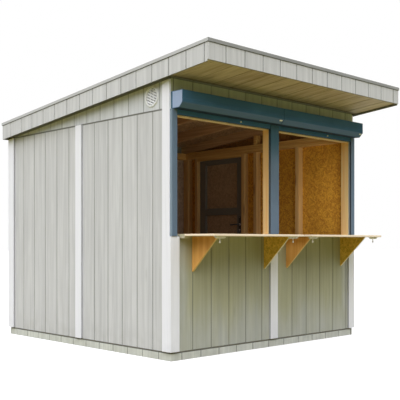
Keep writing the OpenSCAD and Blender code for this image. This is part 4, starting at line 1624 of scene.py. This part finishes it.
    def brushes(self) -> None:
        """Adds the dark brush strips on both sides of each rail's slot."""
        low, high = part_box("guide_rails")
        middle = high.y - self.curtain_off
        ends = (low.z + self.brush_end, high.z - self.brush_end)
        mouths = (low.x + self.rail_w, -self.mid_mouth, self.mid_mouth, high.x - self.rail_w)
        strips = []
        for mouth, inward in zip(mouths, (-1, 1, -1, 1)):
            near, deep = sorted(mouth + inward * d for d in self.brush_in)
            for side in (-1, 1):
                a, b = sorted(middle + side * d for d in self.brush_off)
                corners = [(near, a), (deep, a), (deep, b), (near, b)]
                outline = rounded(corners, [self.brush_r] * 4, 2)
                strips.append(prism(outline, *ends, Axis.Z, FINE_BEVEL))
        black = Moulded("brush_black", paint(24, 24, 26), 0.85)
        make_piece("rail_brushes", joined(strips), black, HUT)


@dataclass
class BarrelBolt:
    """Bolt under a counter: its origin is the middle of the plate's upper face."""

    BRIDGE = ((-0.012, -0.002), (-0.012, -0.005), (-0.0078, -0.0055), (-0.0078, -0.0165))
    BRIDGE_RADII = (0.0006, 0.001, 0.001, 0.0065)
    # Radius and place of each ring along the axis
    BARREL = (
        (0.0052, -0.05), (0.0078, -0.0495), (0.0085, -0.048),
        (0.0085, 0.042), (0.0078, 0.0435), (0.0052, 0.044),
    )
    ROD = (
        (0.001, -0.058), (0.0045, -0.055), (0.005, -0.052),
        (0.005, 0.056), (0.0045, 0.058), (0.001, 0.059),
    )
    KNOB = (
        (0.0034, 0.0), (0.0034, 0.024), (0.0045, 0.0265), (0.0062, 0.031),
        (0.0062, 0.0355), (0.0042, 0.0395), (0.0006, 0.0405),
    )

    plate_l: float = 0.118
    plate_w: float = 0.032
    plate_t: float = 0.0026
    plate_r: float = 0.006
    bridges: Pair = (-0.040, 0.030)
    bridge_half: float = 0.009
    bridge_bevel: float = 0.0006
    axis_z: float = -0.009
    knob_x: float = -0.004
    knob_up: float = 0.003
    screw_r: float = 0.0042
    screw_x: float = 0.052
    screw_y: float = 0.0115

    def shape(self) -> Shape:
        """A rounded plate, two bridges, a turned barrel and rod through them, and a hanging knob.

        Returns:
            The bolt.
        """
        plate = rectangle(self.plate_l, self.plate_w, self.plate_r)
        parts = [prism(plate, -self.plate_t, 0.0, Axis.Z)]
        mirrored = [(-y, z) for y, z in self.BRIDGE[::-1]]
        radii = self.BRIDGE_RADII + self.BRIDGE_RADII[::-1]
        bridge = rounded([*self.BRIDGE, *mirrored], radii)
        for x in self.bridges:
            ends = (x - self.bridge_half, x + self.bridge_half)
            parts.append(prism(bridge, *ends, Axis.X, self.bridge_bevel))
        for profile in (self.BARREL, self.ROD):
            parts.append(lathe(profile).placed((0, 0, self.axis_z), *Facing.RIGHT.value))
        hang = (self.knob_x, 0, self.axis_z - self.knob_up)
        parts.append(lathe(self.KNOB).placed(hang, *Facing.DOWN.value))
        head = screw_head(self.screw_r).placed((0, 0, -self.plate_t), *Facing.DOWN.value)
        spots = [(x * self.screw_x, y * self.screw_y, 0) for x in (-1, 1) for y in (-1, 1)]
        parts.append(head.repeated(spots))
        return joined(parts)


@dataclass
class Counters:
    """Counters, their brackets, the sill's ends and the bolts under them."""

    BRACKET_RADII = (0.0005, 0.002, 0.003, 0.003, 0.002)
    SILL_RADII = (0.003, 0.001, 0.001, 0.001, 0.001, 0.003)

    board_edge: float = 0.005
    bevel: float = 0.0015
    bracket_t: float = 0.018
    reach: float = 0.290
    drop: float = 0.282
    nose: float = 0.007
    bracket_shares: tuple[Pair, ...] = ((0.147, 0.949), (0.124, 0.892))
    bolt_shares: tuple[Pair, ...] = ((0.113, 0.928), (0.072, 0.935))
    bolt_inset: float = 0.051
    sill_l: float = 0.052
    sill_d: float = 0.078
    sill_h: float = 0.034
    sill_lap: float = 0.001
    board_gap: float = 0.0195

    def build(self) -> None:
        """Builds the brackets, sill ends and bolts."""
        dress(LayeredBoard("counter_board"), "left_counter", "right_counter", edge=self.board_edge)
        smooth, strand, seats, sills = [], [], [], []
        for side, shares, catches in zip(SIDES, self.bracket_shares, self.bolt_shares):
            low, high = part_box(side + "_counter")
            width = high.x - low.x
            for boards, share in zip((smooth, strand), shares):
                boards.append(self.bracket(low.x + share * width, high.y, low.z))
            sills.append(self.sill_end(low, high, side == "left"))
            seats += [(low.x + s * width, low.y + self.bolt_inset, low.z) for s in catches]
        # The brackets' pale edge colours are partly a painted highlight
        orange = Softwood(
            "bracket_wood",
            Axis.Z,
            paint(244, 188, 106),
            paint(212, 144, 64),
            scale=26.0,
            edge=paint(255, 214, 152),
        )
        olive = StrandBoard(
            "bracket_strand",
            Axis.X,
            paint(255, 212, 98),
            paint(196, 154, 46),
            edge=paint(255, 242, 226),
        )
        node = ["counter_brackets"]
        make_piece("smooth_brackets", joined(smooth), orange, HUT, node)
        make_piece("strand_brackets", joined(strand), olive, HUT, node)
        beige = Softwood("sill_wood", Axis.X, paint(196, 188, 162), paint(170, 162, 134))
        make_piece("sill_ends", joined(sills), beige, HUT)
        zinc = BareMetal("bolt_zinc", paint(255, 248, 246), 0.5, metallic=0.05)
        bolts = BarrelBolt().shape().repeated(seats)
        make_piece("barrel_bolts", bolts, zinc, HUT, ["counter_bolts"])

    def bracket(self, x: float, wall: float, top: float) -> Shape:
        """Triangular board with blunt ends: its outline in y and z, carried through its thickness.

        Args:
            x: Middle of the board.
            wall: Face of the siding.
            top: Underside of the counter.

        Returns:
            The board.
        """
        corners = [
            (wall, top),
            (wall, top - self.drop),
            (wall - self.nose, top - self.drop),
            (wall - self.reach, top - self.nose),
            (wall - self.reach, top),
        ]
        half = self.bracket_t / 2
        return prism(rounded(corners, self.BRACKET_RADII), x - half, x + half, Axis.X, self.bevel)

    def sill_end(self, low: Point, high: Point, left: bool) -> Shape:
        """Short block of sill at a counter's outer end: a stepped outline carried along the wall.

        Args:
            low: Lowest corner of the counter.
            high: Highest corner of the counter.
            left: Whether the block is at the counter's left end.

        Returns:
            The block, which ends just past the counter.
        """
        wall, top = high[1], high[2] - self.sill_lap
        front, foot = wall - self.sill_d, high[2] - self.sill_h
        step, under = wall - self.board_gap, low[2] + self.sill_lap
        stepped = [(front, foot), (step, foot), (step, under), (wall, under)]
        outline = rounded([*stepped, (wall, top), (front, top)], self.SILL_RADII)
        end = low[0] - self.sill_lap if left else high[0] + self.sill_lap
        inner = end + self.sill_l if left else end - self.sill_l
        return prism(outline, *sorted((end, inner)), Axis.X, self.bevel)


@dataclass
class SideDoor:
    """Hinged door in the right-hand wall."""

    # Radius and height of each ring
    COLLAR = ((0.015, 0.0), (0.015, 0.004), (0.012, 0.007), (0.0086, 0.0075))
    LOCK = (
        (0.0095, 0.0), (0.0095, 0.003), (0.008, 0.0045),
        (0.0055, 0.0045), (0.005, 0.003), (0.0004, 0.003),
    )

    sheet_edge: float = 0.001
    board_edge: float = 0.002
    strap_edge: float = 0.0008
    lever_r: float = 0.0085
    lever_out: float = 0.042
    lever_l: float = 0.112
    lever_bend: float = 0.014
    lever_drop: float = 0.004
    neck_in: float = 0.004
    run_gap: float = 0.006
    bend_steps: int = 8
    run_steps: int = 10
    axis_in: float = 0.049
    plate_w: float = 0.038
    plate_h: float = 0.19
    plate_t: float = 0.0045
    plate_r: float = 0.010
    plate_bevel: float = 0.0012
    plate_screw_r: float = 0.004
    plate_screw_z: float = 0.082
    lock_drop: float = 0.06
    spindle_r: float = 0.006
    strap_t: float = 0.004
    strap_screw_r: float = 0.0055
    strap_screws: int = 5
    strap_half: float = 0.018
    strap_eye: float = 0.07
    hook_screws: Pair = (0.014, 0.05)

    def build(self) -> None:
        """Finishes the leaf and builds the lever handles and screws."""
        strands = (paint(172, 144, 112), paint(142, 116, 88))
        sheet = GroovedSheet("door_sheet", WALL_GROOVES, strands=strands)
        dress(sheet, "door_panel", edge=self.sheet_edge)
        dress(PaintedBoard("door_coat", WHITE_COAT), "door_boards", edge=self.board_edge)
        dark = PaintedBoard("black_coat", paint(110, 108, 100), Axis.Z, 0.5)
        dress(dark, "door_ledges", edge=self.board_edge)
        black = MetalPaint("hinge_coat", paint(44, 44, 45), 0.45)
        dress(black, "hinge_straps", "hinge_hooks", edge=self.strap_edge)
        self.handles(black)
        self.screws(black)

    def lever(self, face: float, out: float, axis_y: float, axis_z: float) -> Shape:
        """Lever: a circle carried out along a neck, round a quarter arc and along the leaf.

        It falls by the square of its way along the leaf.

        Args:
            face: Face of the leaf.
            out: Sign of the direction out of it.
            axis_y: Place of the lever's axis.
            axis_z: Height of the lever's axis.

        Returns:
            The lever.
        """
        r, bend = self.lever_bend, np.linspace(0, math.pi / 2, self.bend_steps)
        neck = face + out * (self.lever_out - r)
        tip = np.full(self.run_steps, face + out * self.lever_out)
        run = np.linspace(axis_y + r + self.run_gap, axis_y + self.lever_l, self.run_steps)
        xs = np.concatenate([[face, neck - out * self.neck_in], neck + out * r * np.sin(bend), tip])
        ys = np.concatenate([[axis_y, axis_y], axis_y + r * (1 - np.cos(bend)), run])
        fall = np.clip((ys - axis_y - r) / self.lever_l, 0, 1) ** 2 * self.lever_drop
        return swept(np.stack([xs, ys, axis_z - fall], 1), circle(self.lever_r), (0, 0, 1))

    def handles(self, finish: MetalPaint) -> None:
        """Builds each side's lever, rounded plate, collar, lock and screws, and the spindle.

        Args:
            finish: Finish of the levers and plates.
        """
        low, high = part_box("door_handle")
        leaf_low, leaf_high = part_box("door_boards")
        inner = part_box("door_ledges")[0].x
        y, z = leaf_low.y + self.axis_in, (low.z + high.z) / 2
        plate = rectangle(self.plate_w, self.plate_h, self.plate_r, 5) + np.array([y, z])
        screw = screw_head(self.plate_screw_r)
        offsets = [(0, 0, self.plate_screw_z), (0, 0, -self.plate_screw_z)]
        parts, bosses = [], []
        for face, out, facing in ((leaf_high.x, 1.0, Facing.RIGHT), (inner, -1.0, Facing.LEFT)):
            outside = face + out * self.plate_t
            parts.append(prism(plate, *sorted((face, outside)), Axis.X, self.plate_bevel))
            parts.append(self.lever(face, out, y, z))
            lock = (outside, y, z - self.lock_drop)
            bosses.append(lathe(self.COLLAR, 24).placed((outside, y, z), *facing.value))
            bosses.append(lathe(self.LOCK, 20).placed(lock, *facing.value))
            bosses.append(screw.placed((outside, y, z), *facing.value).repeated(offsets))
        spindle = lathe([(self.spindle_r, 0.0), (self.spindle_r, leaf_high.x - inner)])
        parts.append(spindle.placed((inner, y, z), *Facing.RIGHT.value))
        steel = BareMetal("handle_steel", paint(204, 204, 202), 0.3, Axis.Y)
        make_piece("lever_handles", joined(parts), finish, DOOR, ["door_handle"])
        make_piece("lever_bosses", joined(bosses), steel, DOOR, ["door_handle"])

    def screws(self, finish: MetalPaint) -> None:
        """Adds round-headed screws on the hinge straps and on the hooks' plates.

        Args:
            finish: Finish of the screws.
        """
        low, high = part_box("hinge_straps")
        half = self.strap_half
        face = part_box("door_boards")[1].x + self.strap_t
        head = screw_head(self.strap_screw_r).placed((face, 0, 0), *Facing.RIGHT.value)
        levels = (low.z + half, high.z - half)
        row = np.linspace(low.y + half, high.y - self.strap_eye, self.strap_screws)
        spots = [(0, y, z) for z in levels for y in row]
        make_piece("strap_screws", head.repeated(spots), finish, DOOR)
        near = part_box("hinge_hooks")[1].y - half
        spots = [(0, near, z - half - off) for z in levels for off in self.hook_screws]
        make_piece("hook_screws", head.repeated(spots), finish, HUT)


# Studio


@dataclass
class Studio:
    """Camera, pale floor, soft light and white surroundings."""

    WHITE = (1.0, 1.0, 1.0)

    eye: Point = (-4.9448, -5.7222, 0.9409)
    yaw: float = -0.7936
    lens: float = 67.08
    sensor: float = 36.0
    shift: Pair = (-0.1022, 0.1025)
    far: float = 200.0
    low_sky: Rgb = (0.05, 0.05, 0.05)
    high_sky: Rgb = (2.05, 2.1, 2.35)
    sky_power: float = 1.5
    bounce: Rgb = (0.20, 0.19, 0.035)
    key_strength: float = 2.5
    key_colour: Rgb = (0.93, 0.945, 1.0)
    key_spread: float = math.radians(60.0)
    key_fall: float = math.radians(44.0)
    key_turn: float = math.radians(-55.0)
    fill_power: float = 4.5
    fill_size: Pair = (2.1, 0.85)
    fill_place: Point = (0.0, -1.14, 1.46)
    floor_half: float = 60.0
    floor_z: float = -0.0005
    floor_glow: float = 0.62
    floor_grey: Rgb = (0.5, 0.5, 0.5)

    def build(self) -> None:
        """Sets everything up."""
        self.camera()
        self.floor()
        self.world()
        self.lamps()
        bpy.context.scene.view_settings.view_transform = "Standard"

    def put(self, name: str, data: bpy.types.ID) -> bpy.types.Object:
        """Puts a new object into the scene.

        Args:
            name: Its name.
            data: Its camera, light or mesh.

        Returns:
            The object.
        """
        made = bpy.data.objects.new(name, data)
        bpy.context.scene.collection.objects.link(made)
        return made

    def camera(self) -> None:
        """Places the camera at the photograph's viewpoint."""
        data = bpy.data.cameras.new("camera")
        data.sensor_width = self.sensor
        data.lens = self.lens
        data.shift_x, data.shift_y = self.shift
        data.clip_end = self.far
        camera = self.put("camera", data)
        camera.location = self.eye
        camera.rotation_euler = (math.pi / 2, 0.0, self.yaw)
        bpy.context.scene.camera = camera

    def by_ray(self, tree: Tree, kind: str, light: bpy.types.Node, seen: bpy.types.Node) -> None:
        """Ends a tree with one shader for rays that light the hut, and one for those that are seen.

        Args:
            tree: The nodes to add to.
            kind: Blender's name of the output node.
            light: Shader for the rays that light the hut.
            seen: Shader for rays from the camera, mirrors and glass.
        """
        ray = tree.add("ShaderNodeLightPath").outputs
        share = tree.larger(ray["Is Camera Ray"], ray["Is Glossy Ray"])
        share = tree.larger(share, ray["Is Transmission Ray"])
        feeds = {0: share, 1: light.outputs[0], 2: seen.outputs[0]}
        mixed = tree.add("ShaderNodeMixShader", feeds)
        tree.add(kind, {"Surface": mixed.outputs[0]})

    def floor(self) -> None:
        """Lays a floor that looks white, keeps a faint shadow and throws back a muted light."""
        reach = np.array([-self.floor_half, self.floor_half])
        x, y = np.meshgrid(reach, reach, indexing="ij")
        points = np.stack([x, y, np.full_like(x, self.floor_z)], -1).reshape(-1, 3)
        mesh = bpy.data.meshes.new("floor")
        mesh.from_pydata(points.tolist(), [], [[0, 2, 3, 1]])
        floor = self.put("floor", mesh)
        material = bpy.data.materials.new("floor_white")
        material.use_nodes = True
        material.node_tree.nodes.clear()
        tree = Tree(material.node_tree)
        glow = tree.add("ShaderNodeEmission", {"Color": self.WHITE, "Strength": self.floor_glow})
        lit = tree.add("ShaderNodeBsdfDiffuse", {"Color": self.floor_grey})
        white = tree.add("ShaderNodeAddShader", {0: glow.outputs[0], 1: lit.outputs[0]})
        muted = tree.add("ShaderNodeBsdfDiffuse", {"Color": self.bounce})
        self.by_ray(tree, "ShaderNodeOutputMaterial", muted, white)
        mesh.materials.append(material)

    def world(self) -> None:
        """Lights like a cloudy sky, brighter by a power of the height, and looks white."""
        world = bpy.data.worlds.new("surroundings")
        bpy.context.scene.world = world
        world.use_nodes = True
        world.node_tree.nodes.clear()
        tree = Tree(world.node_tree)
        height = tree.parts(tree.add("ShaderNodeTexCoord").outputs["Generated"])[2]
        share = tree.math("POWER", tree.larger(height, 0.0), self.sky_power)
        sky = tree.mix(share, self.low_sky, self.high_sky)
        light = tree.add("ShaderNodeBackground", {"Color": sky})
        white = tree.add("ShaderNodeBackground", {"Color": self.WHITE})
        self.by_ray(tree, "ShaderNodeOutputWorld", light, white)

    def lamps(self) -> None:
        """Adds a broad soft light from the front left, and a weak one in at the hatches."""
        key = bpy.data.lights.new("key", "SUN")
        key.energy = self.key_strength
        key.color = self.key_colour
        key.angle = self.key_spread
        self.put("key", key).rotation_euler = (self.key_fall, 0.0, self.key_turn)
        fill = bpy.data.lights.new("fill", "AREA")
        fill.shape = "RECTANGLE"
        fill.energy = self.fill_power
        fill.size, fill.size_y = self.fill_size
        lamp = self.put("fill", fill)
        lamp.location = self.fill_place
        lamp.rotation_euler = (math.pi / 2, 0.0, 0.0)
        lamp.visible_camera = False


def main() -> None:
    """Builds the scene in order."""
    logging.basicConfig(level=logging.INFO, format="%(name)s: %(message)s")
    Effects().build()
    Studio().build()
    Floor().dress()
    TimberFrame().build()
    Walls().dress()
    Roof().dress()
    Vents().build()
    Shutters().build()
    Counters().build()
    SideDoor().build()


if __name__ == "__main__":
    main()
